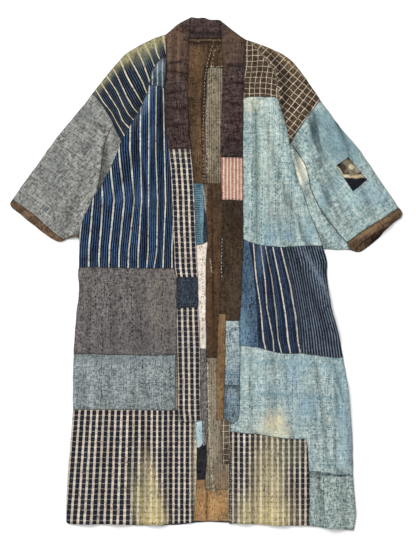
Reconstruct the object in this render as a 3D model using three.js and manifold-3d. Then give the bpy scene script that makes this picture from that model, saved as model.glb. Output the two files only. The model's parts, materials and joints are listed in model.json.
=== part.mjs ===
// A patched boro coat of indigo and brown cottons, laid flat and open down the front.
// Units are millimetres. X runs to the wearer's left, Y to the neck and Z up from the surface it lies on.
// Every piece of cloth is one closed wall. The back lies flat, the inside patches lie on it, and the
// fronts and the sleeve tops lie over those, following one set of soft folds.
import * as THREE from 'three';
import { mergeVertices } from 'three/addons/utils/BufferGeometryUtils.js';
import Module from 'manifold-3d';

// Driving sizes
const SEAM_GAP = 0.3;        // space left between neighbouring pieces
const BACK_WALL = 2.0;       // back cloth with its mending
const FRONT_WALL = 2.0;      // front and sleeve cloth with its mending
const PATCH_WALL = 1.2;      // one layer of patch cloth
const COLLAR_WALL = 5.0;     // folded collar band, four layers and its stiffening
const BAND_WALL = 3.5;       // front bands, cloth turned double
const FRONT_LEVEL = 4.0;     // underside of the fronts where no fold lifts them
const LAP_LIFT = 3.0;        // how far a front folded over its neighbour is lifted
const LAP_FLAT = 16;         // that lift is full this near the folded edge
const LAP_FADE = 44;         // and fades out over this much more
const LATTICE_X = 24;        // spacing of the folded wall's facets across the coat
const LATTICE_Y = 42;        // and along it
const CUTTER_TOP = 80;       // above the highest fold

// Seams and edges, as [x, y] points: each is shared by the pieces on both its sides.
// Names start with r on the wearer's right half, l on the left half and c on the collar.
const seams = {
  // wearer's right front, shoulder and sleeve
  rSideTop: [[-305, 103], [-305, 81], [-306, 16]],
  rSideGray: [[-306, 16], [-309, -3], [-304, -34], [-311, -89], [-317, -154], [-318, -192]],
  rSideBlue: [[-318, -192], [-320, -233], [-320, -326]],
  rSideHem: [[-320, -326], [-325, -401], [-334, -505], [-336, -598]],
  rHem: [[-336, -598], [-330, -603], [-242, -602], [-136, -604], [-32, -599]],
  rHemInner: [[-32, -599], [-26, -553], [-22, -490], [-22, -423], [-26, -357]],
  rFoldTip: [[-110, 515], [-118, 507]],
  rFoldUpper: [[-118, 507], [-125, 499], [-134, 470], [-137, 453]],
  rFold: [
    [-137, 453], [-144, 424], [-158, 398], [-175, 369], [-192, 338], [-204, 319], [-216, 285],
    [-233, 249], [-247, 220], [-259, 202], [-274, 175], [-288, 146], [-302, 115], [-305, 103],
  ],
  rCross: [[-137, 453], [-99, 446]],
  rYokeCut: [[-110, 515], [-96, 520]],
  rCollarOutTop: [[-96, 576], [-96, 520]],
  rCollarOutMid: [[-96, 520], [-96, 499], [-99, 446]],
  rCollarOutLow: [[-99, 446], [-99, 405], [-97, 338], [-91, 300]],
  rBandOut1: [[-91, 300], [-86, 261], [-82, 201], [-79, 105], [-75, 13]],
  rBandOut1b: [[-75, 13], [-71, -9]],
  rBandOut2: [[-71, -9], [-71, -82]],
  rBandOut3: [[-71, -82], [-69, -195]],
  rBandOut4: [[-69, -195], [-67, -257], [-67, -329]],
  rBandOut5: [[-67, -329], [-62, -358]],
  rBandFoot: [[-62, -358], [-26, -357]],
  rBandToe: [[-26, -357], [-12, -351]],
  rBandIn1: [[-37, 300], [-32, 249], [-29, 201], [-25, 105], [-20, -8]],
  rBandIn2: [[-20, -8], [-18, -81]],
  rBandIn3: [[-18, -81], [-14, -183], [-14, -267], [-12, -351]],
  rBandCutA: [[-71, -9], [-20, -8]],
  rBandCutB: [[-71, -82], [-18, -81]],
  rGrayTop: [[-306, 16], [-194, 14], [-75, 13]],
  rGrayFoot: [[-318, -192], [-230, -194], [-130, -197], [-74, -195]],
  rStripTop: [[-74, -195], [-69, -195]],
  rStripSide: [[-74, -195], [-74, -329]],
  rHemTop: [[-320, -326], [-202, -326], [-74, -329]],
  rStripFoot: [[-74, -329], [-67, -329]],
  rShoulderEdge: [
    [-96, 576], [-134, 563], [-170, 544], [-197, 527], [-208, 513], [-230, 489], [-254, 458],
    [-274, 433],
  ],
  rArmhole: [[-274, 433], [-257, 417], [-242, 393], [-230, 374], [-222, 357]],
  rArmholeLow: [[-222, 357], [-214, 338], [-204, 319]],
  rYokeTail: [[-204, 319], [-191, 314]],
  rUnderYoke: [
    [-191, 314], [-180, 333], [-163, 362], [-146, 391], [-132, 419], [-125, 448], [-122, 467],
    [-118, 507],
  ],
  rGussetIn: [[-222, 357], [-240, 326], [-247, 285], [-252, 244], [-259, 202]],
  rGussetTail: [[-250, 190], [-259, 202]],
  rUnderGusset: [[-191, 314], [-203, 279], [-220, 242], [-235, 212], [-250, 190]],
  rUnderSleeve: [[-250, 190], [-262, 167], [-276, 139], [-290, 107], [-293, 89]],
  rSleeveFoot: [[-293, 89], [-305, 88]],
  rGussetFoot: [[-305, 88], [-319, 87], [-336, 83]],
  rCuffEnd: [[-336, 83], [-347, 85]],
  rBackArmEnd: [[-305, 103], [-305, 88]],
  rCuffSeam: [[-347, 85], [-374, 105], [-398, 128], [-422, 149], [-446, 166], [-466, 178]],
  rSleeveTop: [[-466, 178], [-446, 208], [-398, 273], [-350, 340], [-302, 395], [-274, 433]],
  rCuffLip: [[-466, 178], [-474, 164], [-422, 124], [-382, 91], [-353, 75], [-336, 83]],
  rBackArm: [[-204, 319], [-233, 249], [-259, 202], [-288, 146], [-305, 103]],
  rCollarFoot: [[-91, 300], [-37, 300]],

  // collar and neck band
  cRightIn: [[-37, 300], [-41, 345], [-43, 417], [-43, 489], [-41, 560]],
  cRightPipe: [[-41, 560], [-40, 565]],
  cRightInTop: [[-40, 565], [-38, 616]],
  cRightTop: [[-38, 616], [-62, 603], [-86, 585], [-96, 576]],
  neckTop: [[-38, 616], [-34, 617], [-19, 613], [-5, 616], [10, 609], [29, 611], [34, 609]],
  neckFoot: [[-40, 565], [38, 565]],
  pipeFoot: [[-41, 560], [38, 560]],
  cLeftInTop: [[34, 609], [38, 565]],
  cLeftPipe: [[38, 565], [38, 560]],
  cLeftIn: [[38, 560], [41, 513], [38, 417], [35, 333], [36, 281]],
  cLeftFoot: [[36, 281], [89, 278]],
  cLeftTop: [[34, 609], [58, 590], [82, 571], [94, 563]],

  // wearer's left front, shoulder and sleeve
  lCollarOutTop: [[94, 563], [93, 465], [90, 423]],
  lCollarOutLow: [[90, 423], [89, 345], [89, 278]],
  lShoulderEdge: [
    [94, 563], [130, 553], [178, 532], [206, 514], [226, 489], [250, 455], [275, 417],
  ],
  lArmhole: [[275, 417], [250, 388], [226, 350], [214, 334], [204, 314]],
  lPaleTop: [[90, 423], [113, 427], [142, 424], [163, 424]],
  lPaleTopEnd: [[163, 424], [175, 417]],
  lFold: [[175, 417], [182, 393], [192, 364], [202, 314], [209, 273], [218, 237], [228, 208]],
  lYokeTail: [[192, 309], [204, 314]],
  lUnderYoke: [[192, 309], [180, 355], [170, 388], [163, 424]],
  lUnderGusset: [[228, 208], [216, 206], [206, 235], [197, 271], [192, 309]],
  lArmSeam: [[228, 208], [238, 177], [252, 136], [269, 100], [281, 67]],
  lPaleFootA: [[90, 83], [103, 77]],
  lPaleFootB: [[103, 77], [133, 67], [187, 64]],
  lPaleFootC: [[187, 64], [253, 68], [281, 67]],
  lBandOut1: [[89, 278], [89, 176]],
  lBandOut2a: [[89, 176], [90, 83]],
  lBandOut2b: [[90, 83], [87, 4], [84, -68], [81, -113]],
  lBandOut3: [[81, -113], [82, -172]],
  lBandOut4: [[82, -172], [81, -269]],
  lBandOut5: [[81, -269], [80, -346], [67, -361], [58, -362]],
  lBlueSide: [[103, 77], [114, 16], [122, -80], [126, -177]],
  lFineSide: [[187, 64], [209, -27], [222, -101], [229, -191]],
  lTealTopA: [[82, -172], [126, -177]],
  lTealTopB: [[126, -177], [186, -193], [229, -191]],
  lTealTopC: [[229, -191], [283, -199], [314, -203], [329, -199]],
  lSideTop: [[281, 67], [283, 60]],
  lSideFine: [[283, 60], [293, 27], [290, -1], [301, -80], [320, -143], [329, -199]],
  lSideTeal: [[329, -199], [344, -282], [351, -375], [354, -485]],
  lSideCorner: [[354, -485], [360, -560], [361, -588], [356, -617]],
  lHemTop: [[58, -380], [124, -385], [186, -396], [242, -397]],
  lHemSide: [[242, -397], [247, -454], [248, -476]],
  lHemSideLow: [[248, -476], [249, -517], [247, -607]],
  lCornerTop: [[248, -476], [283, -476], [314, -484], [354, -485]],
  lHem: [[55, -601], [86, -600], [164, -605], [247, -607]],
  lCornerHem: [[247, -607], [318, -614], [356, -617]],
  lHemInner: [[55, -601], [54, -519], [56, -457]],
  lFacingOut: [[56, -457], [58, -380]],
  lTealToe: [[58, -380], [58, -362]],
  lFacingIn: [[37, -352], [38, -457]],
  lFacingFoot: [[38, -457], [56, -457]],
  lPatchTop: [[44, -268], [81, -269]],
  lPatchIn: [[44, -268], [43, -347]],
  lPatchToe: [[43, -347], [54, -353], [58, -362]],
  lBlueTop: [[48, -112], [81, -113]],
  lBlueIn: [[48, -112], [46, -183], [44, -268]],
  lTanTop: [[30, -96], [48, -97]],
  lTanTopIn: [[48, -97], [48, -112]],
  lTanIn: [[30, -96], [27, -171], [25, -257], [25, -352]],
  lTanFoot: [[25, -352], [37, -352]],
  lTanToe: [[37, -352], [43, -347]],
  lBrownIn: [[38, 178], [37, 98], [35, -20], [30, -96]],
  lPinkFoot: [[38, 178], [89, 176]],
  lPinkIn: [[36, 281], [38, 178]],
  lGussetSeam: [
    [204, 314], [226, 283], [238, 261], [247, 230], [252, 199], [271, 160], [298, 124], [322, 93],
    [338, 75],
  ],
  lGussetEnd: [[338, 75], [346, 57]],
  lGussetFoot: [[346, 57], [317, 58], [283, 60]],
  lSleeveTop: [[275, 417], [322, 352], [370, 297], [418, 225], [463, 159]],
  lCuffSeam: [[463, 159], [437, 141], [414, 127], [390, 113], [371, 100], [354, 86], [338, 75]],
  lCuffTop: [[463, 159], [474, 145], [468, 134]],
  lCuffLip: [[468, 134], [442, 117], [416, 104], [396, 93], [373, 75], [364, 65], [362, 52]],
  lCuffBackLip: [[468, 134], [437, 111], [411, 81], [390, 64], [372, 51], [362, 52]],
  lCuffFoot: [[362, 52], [346, 57]],
  lBackArm: [[204, 314], [228, 208], [252, 136], [281, 67]],
  sleevePatch: [[341, 280], [311, 259], [350, 196], [386, 225], [341, 280]],

  // back panels
  backYokeR: [[-204, 319], [0, 319]],
  backYokeL: [[0, 319], [204, 314]],
  backNeckR: [[-96, 576], [-86, 583], [-62, 599], [-43, 609], [-40, 565], [0, 565]],
  backNeckL: [[0, 565], [38, 565], [38, 602], [58, 587], [82, 568], [94, 563]],
  backCentreTop: [[0, 565], [0, 319]],
  backCentre: [[0, 319], [0, -597]],
  backHemR: [
    [-336, -598], [-330, -603], [-242, -603], [-136, -606], [-82, -605], [-32, -600], [0, -597],
  ],
  backHemL: [[0, -597], [58, -599], [164, -605], [247, -607], [318, -614], [356, -617]],

  // patches on the inside of the back, in the opening
  seamFoldL: [
    [16, 559], [6, 532], [-1, 508], [-6, 477], [-9, 441], [-12, 393], [-11, 345], [-7, 261],
    [-5, 217],
  ],
  foldCap: [[16, 559], [24, 559]],
  seamFoldR: [[24, 559], [14, 532], [10, 519], [5, 495]],
  seamFoldR2: [[5, 495], [2, 477], [-1, 429], [-3, 369], [-1, 297], [2, 217]],
  inEdgeTopL: [[-62, 559], [16, 559]],
  inEdgeTopR: [[24, 559], [55, 559]],
  inRightA: [[55, 559], [55, 495]],
  inRightB: [[55, 495], [55, 217]],
  inRightC: [[55, 217], [55, -202]],
  inRightD: [[55, -202], [55, -332], [77, -361], [77, -519]],
  inRightE: [[77, -519], [77, -595]],
  inLeftA: [[-62, 559], [-62, 217]],
  inLeftB: [[-53, 217], [-53, 68]],
  inLeftC: [[-53, 68], [-48, -178]],
  inLeftD: [[-48, -178], [-48, -356]],
  inLeftE: [[-48, -356], [-48, -420]],
  inLeftF: [[-48, -420], [-48, -495]],
  inLeftG: [[-48, -495], [-48, -595]],
  oliveFoot: [[5, 495], [55, 495]],
  brownFootA: [[-62, 217], [-53, 217]],
  brownFootB: [[-53, 217], [-5, 217]],
  foldFoot: [[-5, 217], [2, 217]],
  grayFoot: [[2, 217], [55, 217]],
  blueSide: [[-4, 164], [-6, 73]],
  darkSide1: [[-5, 217], [-4, 164]],
  darkSide2: [[-4, 164], [2, 127], [4, 79]],
  creamSide: [[4, 79], [-1, 16], [0, -63], [0, -181]],
  darkSide3: [[0, -181], [1, -202]],
  blueFoot: [[-53, 68], [-22, 68], [-6, 73]],
  sliverFoot: [[-6, 73], [4, 79]],
  creamFoot: [[-48, -178], [0, -181]],
  darkFoot: [[1, -202], [55, -202]],
  oliveLowIn: [[1, -202], [2, -281], [6, -356], [3, -404], [0, -412]],
  iceTop: [[-48, -356], [-8, -352]],
  iceSide: [[-8, -352], [-8, -409]],
  iceFoot: [[-48, -420], [-17, -420], [-8, -409]],
  blackTop: [[-8, -409], [0, -412]],
  blackSide: [[0, -412], [2, -435], [-1, -495]],
  blackFoot: [[-48, -495], [-1, -495]],
  tanSide: [[-1, -495], [-2, -519]],
  oliveLowFoot: [[-2, -519], [77, -519]],
  tanFoot: [[-48, -595], [2, -596], [77, -595]],
};

// Soft folds of the fronts and sleeves: the crest line, its height and its half width
const folds = {
  rightRoll: {
    half: 30, rise: 8,
    line: [
      [-110, 484], [-130, 422], [-146, 383], [-168, 343], [-190, 304], [-211, 254], [-235, 206],
      [-259, 163], [-278, 119], [-288, 57],
    ],
  },
  rightPinch: {
    half: 24, rise: 10,
    line: [
      [-134, 417], [-142, 333], [-149, 273], [-156, 201], [-163, 117], [-166, 45],
    ],
  },
  rightPinchInner: {
    half: 20, rise: 7,
    line: [
      [-118, 393], [-125, 297], [-127, 201], [-125, 105], [-130, 28],
    ],
  },
  rightSweep: {
    half: 40, rise: 6,
    line: [
      [-202, 249], [-223, 141], [-238, 28], [-245, -87], [-250, -171],
    ],
  },
  rightBelly: { half: 36, rise: 5, line: [[-180, 141], [-190, 28], [-192, -87], [-192, -183]] },
  rightGrayInner: { half: 34, rise: 5, line: [[-122, -27], [-122, -135], [-118, -243], [-115, -315]] },
  rightLowOuter: { half: 34, rise: 6, line: [[-266, -255], [-271, -375], [-281, -495], [-288, -601]] },
  rightLowMid: { half: 34, rise: 7, line: [[-197, -303], [-202, -399], [-206, -507], [-211, -603]] },
  rightLowInner: { half: 34, rise: 8, line: [[-115, -351], [-118, -471], [-122, -605]] },
  rightYoke: { half: 36, rise: 5, line: [[-130, 532], [-163, 470], [-202, 398]] },
  rightSleeveCrest: { half: 44, rise: 7, line: [[-259, 388], [-307, 321], [-360, 239], [-408, 158]] },
  rightSleeveUnder: {
    half: 30, rise: 9,
    line: [
      [-235, 359], [-259, 292], [-269, 225], [-293, 153], [-317, 95],
    ],
  },
  rightSleeveBelly: { half: 40, rise: 5, line: [[-293, 261], [-336, 189], [-379, 119]] },
  leftRoll: {
    half: 28, rise: 8,
    line: [
      [158, 407], [168, 364], [180, 316], [190, 273], [202, 230], [216, 182],
    ],
  },
  leftArm: { half: 26, rise: 7, line: [[221, 196], [235, 148], [252, 105], [266, 67]] },
  leftPaleMid: { half: 32, rise: 4, line: [[139, 393], [139, 273], [144, 153], [149, 71]] },
  leftStripeFan: { half: 26, rise: 5, line: [[125, 57], [134, -39], [144, -147]] },
  leftStripeFanOuter: { half: 26, rise: 5, line: [[178, 52], [194, -63], [206, -171]] },
  leftFineFold: { half: 28, rise: 11, line: [[230, 57], [250, 21], [274, -29], [300, -94], [314, -147]] },
  leftTealInner: { half: 30, rise: 7, line: [[134, -188], [132, -267], [134, -363]] },
  leftTealMid: { half: 38, rise: 5, line: [[226, -226], [233, -303], [238, -380]] },
  leftTealOuter: { half: 28, rise: 7, line: [[288, -236], [305, -339], [317, -452]] },
  leftTealEdge: { half: 24, rise: 9, line: [[334, -267], [334, -351], [334, -459]] },
  leftLowInner: { half: 30, rise: 6, line: [[96, -399], [94, -495], [91, -601]] },
  leftLowMid: { half: 38, rise: 7, line: [[180, -411], [178, -507], [178, -603]] },
  leftLowOuter: { half: 34, rise: 8, line: [[300, -495], [305, -610]] },
  leftYokeInner: { half: 26, rise: 6, line: [[125, 537], [146, 508], [163, 470], [168, 422]] },
  leftYokeOuter: { half: 34, rise: 6, line: [[221, 475], [223, 417], [214, 350]] },
  leftGusset: { half: 22, rise: 6, line: [[233, 268], [238, 213], [264, 139], [302, 81]] },
  leftSleeveValleyIn: { half: 24, rise: 8, line: [[233, 350], [242, 297], [257, 235], [278, 167]] },
  leftSleeveCrest: { half: 40, rise: 10, line: [[278, 388], [302, 316], [329, 235], [355, 158]] },
  leftSleeveOuter: { half: 40, rise: 8, line: [[331, 326], [379, 244], [432, 158]] },
  cuffMouth: { half: 62, rise: 14, line: [[410, 95], [379, 148], [350, 201]] },
};

// Distance from a point to a line of straight stretches
function distanceTo(line, x, y) {
  let nearest = Infinity;
  for (let i = 1; i < line.length; i++) {
    const [ax, ay] = line[i - 1];
    const [bx, by] = line[i];
    const dx = bx - ax;
    const dy = by - ay;
    const along = THREE.MathUtils.clamp(((x - ax) * dx + (y - ay) * dy) / (dx * dx + dy * dy), 0, 1);
    nearest = Math.min(nearest, Math.hypot(x - ax - along * dx, y - ay - along * dy));
  }
  return nearest;
}

// Underside of the folded cloth
function foldedLevel(x, y) {
  let level = FRONT_LEVEL;
  for (const { half, rise, line } of Object.values(folds)) {
    const reach = distanceTo(line, x, y) / half;
    if (reach < 1) level += rise * (1 - reach * reach) ** 2;
  }
  return level;
}

// The same, for a front whose folded edge laps over its neighbour
function lappedLevel(foldEdge) {
  return (x, y) => {
    const beyond = distanceTo(foldEdge, x, y) - LAP_FLAT;
    return foldedLevel(x, y) + LAP_LIFT * (1 - THREE.MathUtils.smoothstep(beyond, 0, LAP_FADE));
  };
}

// Chains seams end to end into one closed outline, turning round those that run the other way
function outlineOf(names) {
  const same = (a, b) => a[0] === b[0] && a[1] === b[1];
  const runs = names.map((name) => seams[name]);
  const meets = (point, run) => same(point, run[0]) || same(point, run.at(-1));
  const onward = runs.length === 1 || meets(runs[0].at(-1), runs[1]);
  const points = onward ? [...runs[0]] : [...runs[0]].reverse();
  for (const run of runs.slice(1)) {
    const end = points.at(-1);
    if (!meets(end, run)) throw new Error(`seams do not meet at ${end} in ${names}`);
    const next = same(end, run[0]) ? run : [...run].reverse();
    points.push(...next.slice(1));
  }
  if (!same(points[0], points.at(-1))) throw new Error(`open outline: ${names}`);
  points.pop();
  return points;
}

// Moves an outline inwards by half the seam gap, on mitred corners
function insetOutline(points) {
  const vectors = points.map(([x, y]) => new THREE.Vector2(x, y));
  if (THREE.ShapeUtils.isClockWise(vectors)) vectors.reverse();
  const count = vectors.length;
  const normalAfter = (i) => {
    const edge = vectors[(i + 1) % count].clone().sub(vectors[i]).normalize();
    return new THREE.Vector2(-edge.y, edge.x);
  };
  return vectors.map((point, i) => {
    const before = normalAfter((i + count - 1) % count);
    const after = normalAfter(i);
    const mitre = before.add(after).normalize();
    const reach = SEAM_GAP / 2 / Math.max(mitre.dot(after), 0.35);
    return point.clone().addScaledVector(mitre, reach);
  });
}

// An outline stood up as a prism
function prismOf(points, bottom, height) {
  const shape = new THREE.Shape(points);
  const geometry = new THREE.ExtrudeGeometry(shape, { depth: height, bevelEnabled: false });
  return geometry.translate(0, 0, bottom);
}

// A wall that follows the folds, over a lattice that all the pieces share
function foldedWall(points, level, wall) {
  const box = new THREE.Box2().setFromPoints(points);
  const x0 = Math.floor(box.min.x / LATTICE_X) - 1;
  const x1 = Math.ceil(box.max.x / LATTICE_X) + 1;
  const y0 = Math.floor(box.min.y / LATTICE_Y) - 1;
  const y1 = Math.ceil(box.max.y / LATTICE_Y) + 1;
  const columns = x1 - x0;
  const rows = y1 - y0;
  const positions = [];
  for (const lift of [0, wall]) {
    for (let j = 0; j <= rows; j++) {
      for (let i = 0; i <= columns; i++) {
        const x = (x0 + i) * LATTICE_X;
        const y = (y0 + j) * LATTICE_Y;
        positions.push(x, y, level(x, y) + lift);
      }
    }
  }
  const under = (i, j) => j * (columns + 1) + i;
  const over = (i, j) => under(i, j) + (columns + 1) * (rows + 1);
  const triangles = [];
  const quad = (a, b, c, d) => triangles.push(a, b, c, a, c, d);
  for (let j = 0; j < rows; j++) {
    for (let i = 0; i < columns; i++) {
      quad(over(i, j), over(i + 1, j), over(i + 1, j + 1), over(i, j + 1));
      triangles.push(under(i, j), under(i + 1, j + 1), under(i + 1, j));
      triangles.push(under(i, j), under(i, j + 1), under(i + 1, j + 1));
    }
  }
  for (let i = 0; i < columns; i++) {
    quad(under(i, 0), under(i + 1, 0), over(i + 1, 0), over(i, 0));
    quad(under(i + 1, rows), under(i, rows), over(i, rows), over(i + 1, rows));
  }
  for (let j = 0; j < rows; j++) {
    quad(under(columns, j), under(columns, j + 1), over(columns, j + 1), over(columns, j));
    quad(under(0, j + 1), under(0, j), over(0, j), over(0, j + 1));
  }
  const geometry = new THREE.BufferGeometry();
  geometry.setAttribute('position', new THREE.Float32BufferAttribute(positions, 3));
  geometry.setIndex(triangles);
  return geometry;
}

const manifold = await Module();
manifold.setup();

function toSolid(geometry) {
  const bare = geometry.clone();
  bare.deleteAttribute('normal');
  bare.deleteAttribute('uv');
  const merged = mergeVertices(bare, 1e-4);
  return new manifold.Manifold(new manifold.Mesh({
    numProp: 3,
    vertProperties: new Float32Array(merged.attributes.position.array),
    triVerts: new Uint32Array(merged.index.array),
  }));
}

function fromSolid(solid) {
  const mesh = solid.getMesh();
  const geometry = new THREE.BufferGeometry();
  geometry.setAttribute('position', new THREE.BufferAttribute(mesh.vertProperties, 3));
  geometry.setIndex(new THREE.BufferAttribute(mesh.triVerts, 1));
  return geometry;
}

// A piece lying flat between two heights
function flatPiece(names, bottom, wall) {
  return prismOf(insetOutline(outlineOf(names)), bottom, wall);
}

// A piece cut from the folded wall
function foldedPiece(names, level = foldedLevel, wall = FRONT_WALL) {
  const points = insetOutline(outlineOf(names));
  const wallSolid = toSolid(foldedWall(points, level, wall));
  return fromSolid(wallSolid.intersect(toSolid(prismOf(points, 0, CUTTER_TOP))));
}

const coat = new THREE.Group();

function add(name, color, roughness, geometry) {
  const material = new THREE.MeshStandardMaterial({ color, roughness, metalness: 0 });
  const mesh = new THREE.Mesh(geometry, material);
  mesh.name = name;
  coat.add(mesh);
}

// Cloth colours
const cloth = {
  indigo: 0x1f2c42, stripe: 0x2b4267, paleIndigo: 0x4a6685, slub: 0x8b8f8c, slate: 0x6f6762,
  greyBlue: 0x8a9aa2, check: 0x151f33, brownCheck: 0x5a4a3e, umber: 0x41352b, tan: 0x8b6b47,
  pale: 0x9fb5b6, teal: 0x8ea9ae, midBlue: 0x3f6485, navy: 0x1f2c48, slateStripe: 0x3a4255,
  collar: 0x4a3e3c, rust: 0x7a5d43, pink: 0xb98680, cream: 0xe3d8cf, olive: 0x54432f,
  sage: 0x6e8384, inkBlack: 0x26252a, ice: 0xa9bec6, oliveGrey: 0x85796a, patchBlue: 0x4d7f96,
};
const ROUGH = 0.92;

// Back, flat on the surface: two panels, the shoulder cloths' back halves and the sleeves' under halves
const backPieces = [
  ['back_right', cloth.umber,
    ['backYokeR', 'rBackArm', 'rSideTop', 'rSideGray', 'rSideBlue', 'rSideHem', 'backHemR',
      'backCentre']],
  ['back_left', cloth.umber,
    ['backYokeL', 'lBackArm', 'lSideTop', 'lSideFine', 'lSideTeal', 'lSideCorner', 'backHemL',
      'backCentre']],
  ['right_shoulder_back', cloth.indigo,
    ['rShoulderEdge', 'rArmhole', 'rArmholeLow', 'backYokeR', 'backCentreTop', 'backNeckR']],
  ['left_shoulder_back', cloth.brownCheck,
    ['lShoulderEdge', 'lArmhole', 'backYokeL', 'backCentreTop', 'backNeckL']],
  ['right_sleeve_back', cloth.slub,
    ['rArmhole', 'rArmholeLow', 'rBackArm', 'rBackArmEnd', 'rGussetFoot', 'rCuffEnd', 'rCuffSeam',
      'rSleeveTop']],
  ['left_sleeve_back', cloth.pale,
    ['lArmhole', 'lBackArm', 'lSideTop', 'lGussetFoot', 'lGussetEnd', 'lCuffSeam', 'lSleeveTop']],
  ['right_cuff_back', cloth.rust, ['rCuffSeam', 'rCuffLip', 'rCuffEnd']],
  ['left_cuff_back', cloth.rust, ['lCuffSeam', 'lGussetEnd', 'lCuffFoot', 'lCuffBackLip', 'lCuffTop']],
];
for (const [name, color, outline] of backPieces) {
  add(name, color, ROUGH, flatPiece(outline, 0, BACK_WALL));
}

// Patches on the inside of the back
const insideLevel = BACK_WALL + SEAM_GAP;
const insidePieces = [
  ['inner_brown_upper', cloth.olive, ['inEdgeTopL', 'seamFoldL', 'brownFootB', 'brownFootA', 'inLeftA']],
  ['back_seam_fold', cloth.olive, ['foldCap', 'seamFoldR', 'seamFoldR2', 'foldFoot', 'seamFoldL']],
  ['inner_olive_top', cloth.olive, ['inEdgeTopR', 'inRightA', 'oliveFoot', 'seamFoldR']],
  ['inner_gray_stripe', cloth.oliveGrey, ['oliveFoot', 'inRightB', 'grayFoot', 'seamFoldR2']],
  ['inner_dark_brown', cloth.umber,
    ['foldFoot', 'grayFoot', 'inRightC', 'darkFoot', 'darkSide3', 'creamSide', 'darkSide2', 'darkSide1']],
  ['inner_blue', cloth.patchBlue, ['brownFootB', 'darkSide1', 'blueSide', 'blueFoot', 'inLeftB']],
  ['inner_navy_sliver', cloth.navy, ['darkSide2', 'sliverFoot', 'blueSide']],
  ['inner_cream', cloth.cream, ['blueFoot', 'sliverFoot', 'creamSide', 'creamFoot', 'inLeftC']],
  ['inner_gray_brown', cloth.slate,
    ['creamFoot', 'darkSide3', 'oliveLowIn', 'blackTop', 'iceSide', 'iceTop', 'inLeftD']],
  ['inner_ice_blue', cloth.ice, ['iceTop', 'iceSide', 'iceFoot', 'inLeftE']],
  ['inner_black', cloth.inkBlack, ['iceFoot', 'blackTop', 'blackSide', 'blackFoot', 'inLeftF']],
  ['inner_olive_lower', cloth.oliveGrey,
    ['darkFoot', 'inRightD', 'oliveLowFoot', 'tanSide', 'blackSide', 'oliveLowIn']],
  ['inner_tan_hem', cloth.tan, ['blackFoot', 'tanSide', 'oliveLowFoot', 'inRightE', 'tanFoot', 'inLeftG']],
];
for (const [name, color, outline] of insidePieces) {
  add(name, color, ROUGH, flatPiece(outline, insideLevel, PATCH_WALL));
}

// Collar, neck band and front bands, cloth turned double and lying level
const levelPieces = [
  ['collar_right', cloth.collar, COLLAR_WALL,
    ['cRightTop', 'cRightInTop', 'cRightPipe', 'cRightIn', 'rCollarFoot', 'rCollarOutLow', 'rCollarOutMid',
      'rCollarOutTop']],
  ['collar_left', cloth.collar, COLLAR_WALL,
    ['cLeftTop', 'lCollarOutTop', 'lCollarOutLow', 'cLeftFoot', 'cLeftIn', 'cLeftPipe', 'cLeftInTop']],
  ['right_band_check_upper', cloth.check, BAND_WALL,
    ['rCollarFoot', 'rBandIn1', 'rBandCutA', 'rBandOut1b', 'rBandOut1']],
  ['right_band_navy_patch', cloth.navy, BAND_WALL, ['rBandCutA', 'rBandIn2', 'rBandCutB', 'rBandOut2']],
  ['right_band_check_lower', cloth.check, BAND_WALL,
    ['rBandCutB', 'rBandIn3', 'rBandToe', 'rBandFoot', 'rBandOut5', 'rBandOut4', 'rBandOut3']],
  ['left_band_pink', cloth.pink, BAND_WALL, ['cLeftFoot', 'lBandOut1', 'lPinkFoot', 'lPinkIn']],
  ['left_band_brown', cloth.umber, BAND_WALL,
    ['lPinkFoot', 'lBandOut2a', 'lBandOut2b', 'lBlueTop', 'lTanTopIn', 'lTanTop', 'lBrownIn']],
  ['left_edge_tan', cloth.tan, BAND_WALL,
    ['lTanTop', 'lTanTopIn', 'lBlueIn', 'lPatchIn', 'lTanToe', 'lTanFoot', 'lTanIn']],
  ['left_band_pale_blue', cloth.greyBlue, BAND_WALL,
    ['lBlueTop', 'lBandOut3', 'lBandOut4', 'lPatchTop', 'lBlueIn']],
  ['left_band_stitched_patch', cloth.patchBlue, BAND_WALL,
    ['lPatchTop', 'lBandOut5', 'lPatchToe', 'lPatchIn']],
  ['left_facing_check', cloth.brownCheck, BAND_WALL,
    ['lTanToe', 'lPatchToe', 'lTealToe', 'lFacingOut', 'lFacingFoot', 'lFacingIn']],
];
for (const [name, color, wall, outline] of levelPieces) {
  add(name, color, ROUGH, flatPiece(outline, FRONT_LEVEL, wall));
}
// The back of the collar lies on the surface, beyond the back's neckline
const neckWall = FRONT_LEVEL + COLLAR_WALL;
add('neck_band', cloth.collar, ROUGH,
  flatPiece(['neckTop', 'cLeftInTop', 'neckFoot', 'cRightInTop'], 0, neckWall));
add('neck_piping', cloth.tan, ROUGH,
  flatPiece(['neckFoot', 'cLeftPipe', 'pipeFoot', 'cRightPipe'], FRONT_LEVEL, PATCH_WALL));

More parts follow.
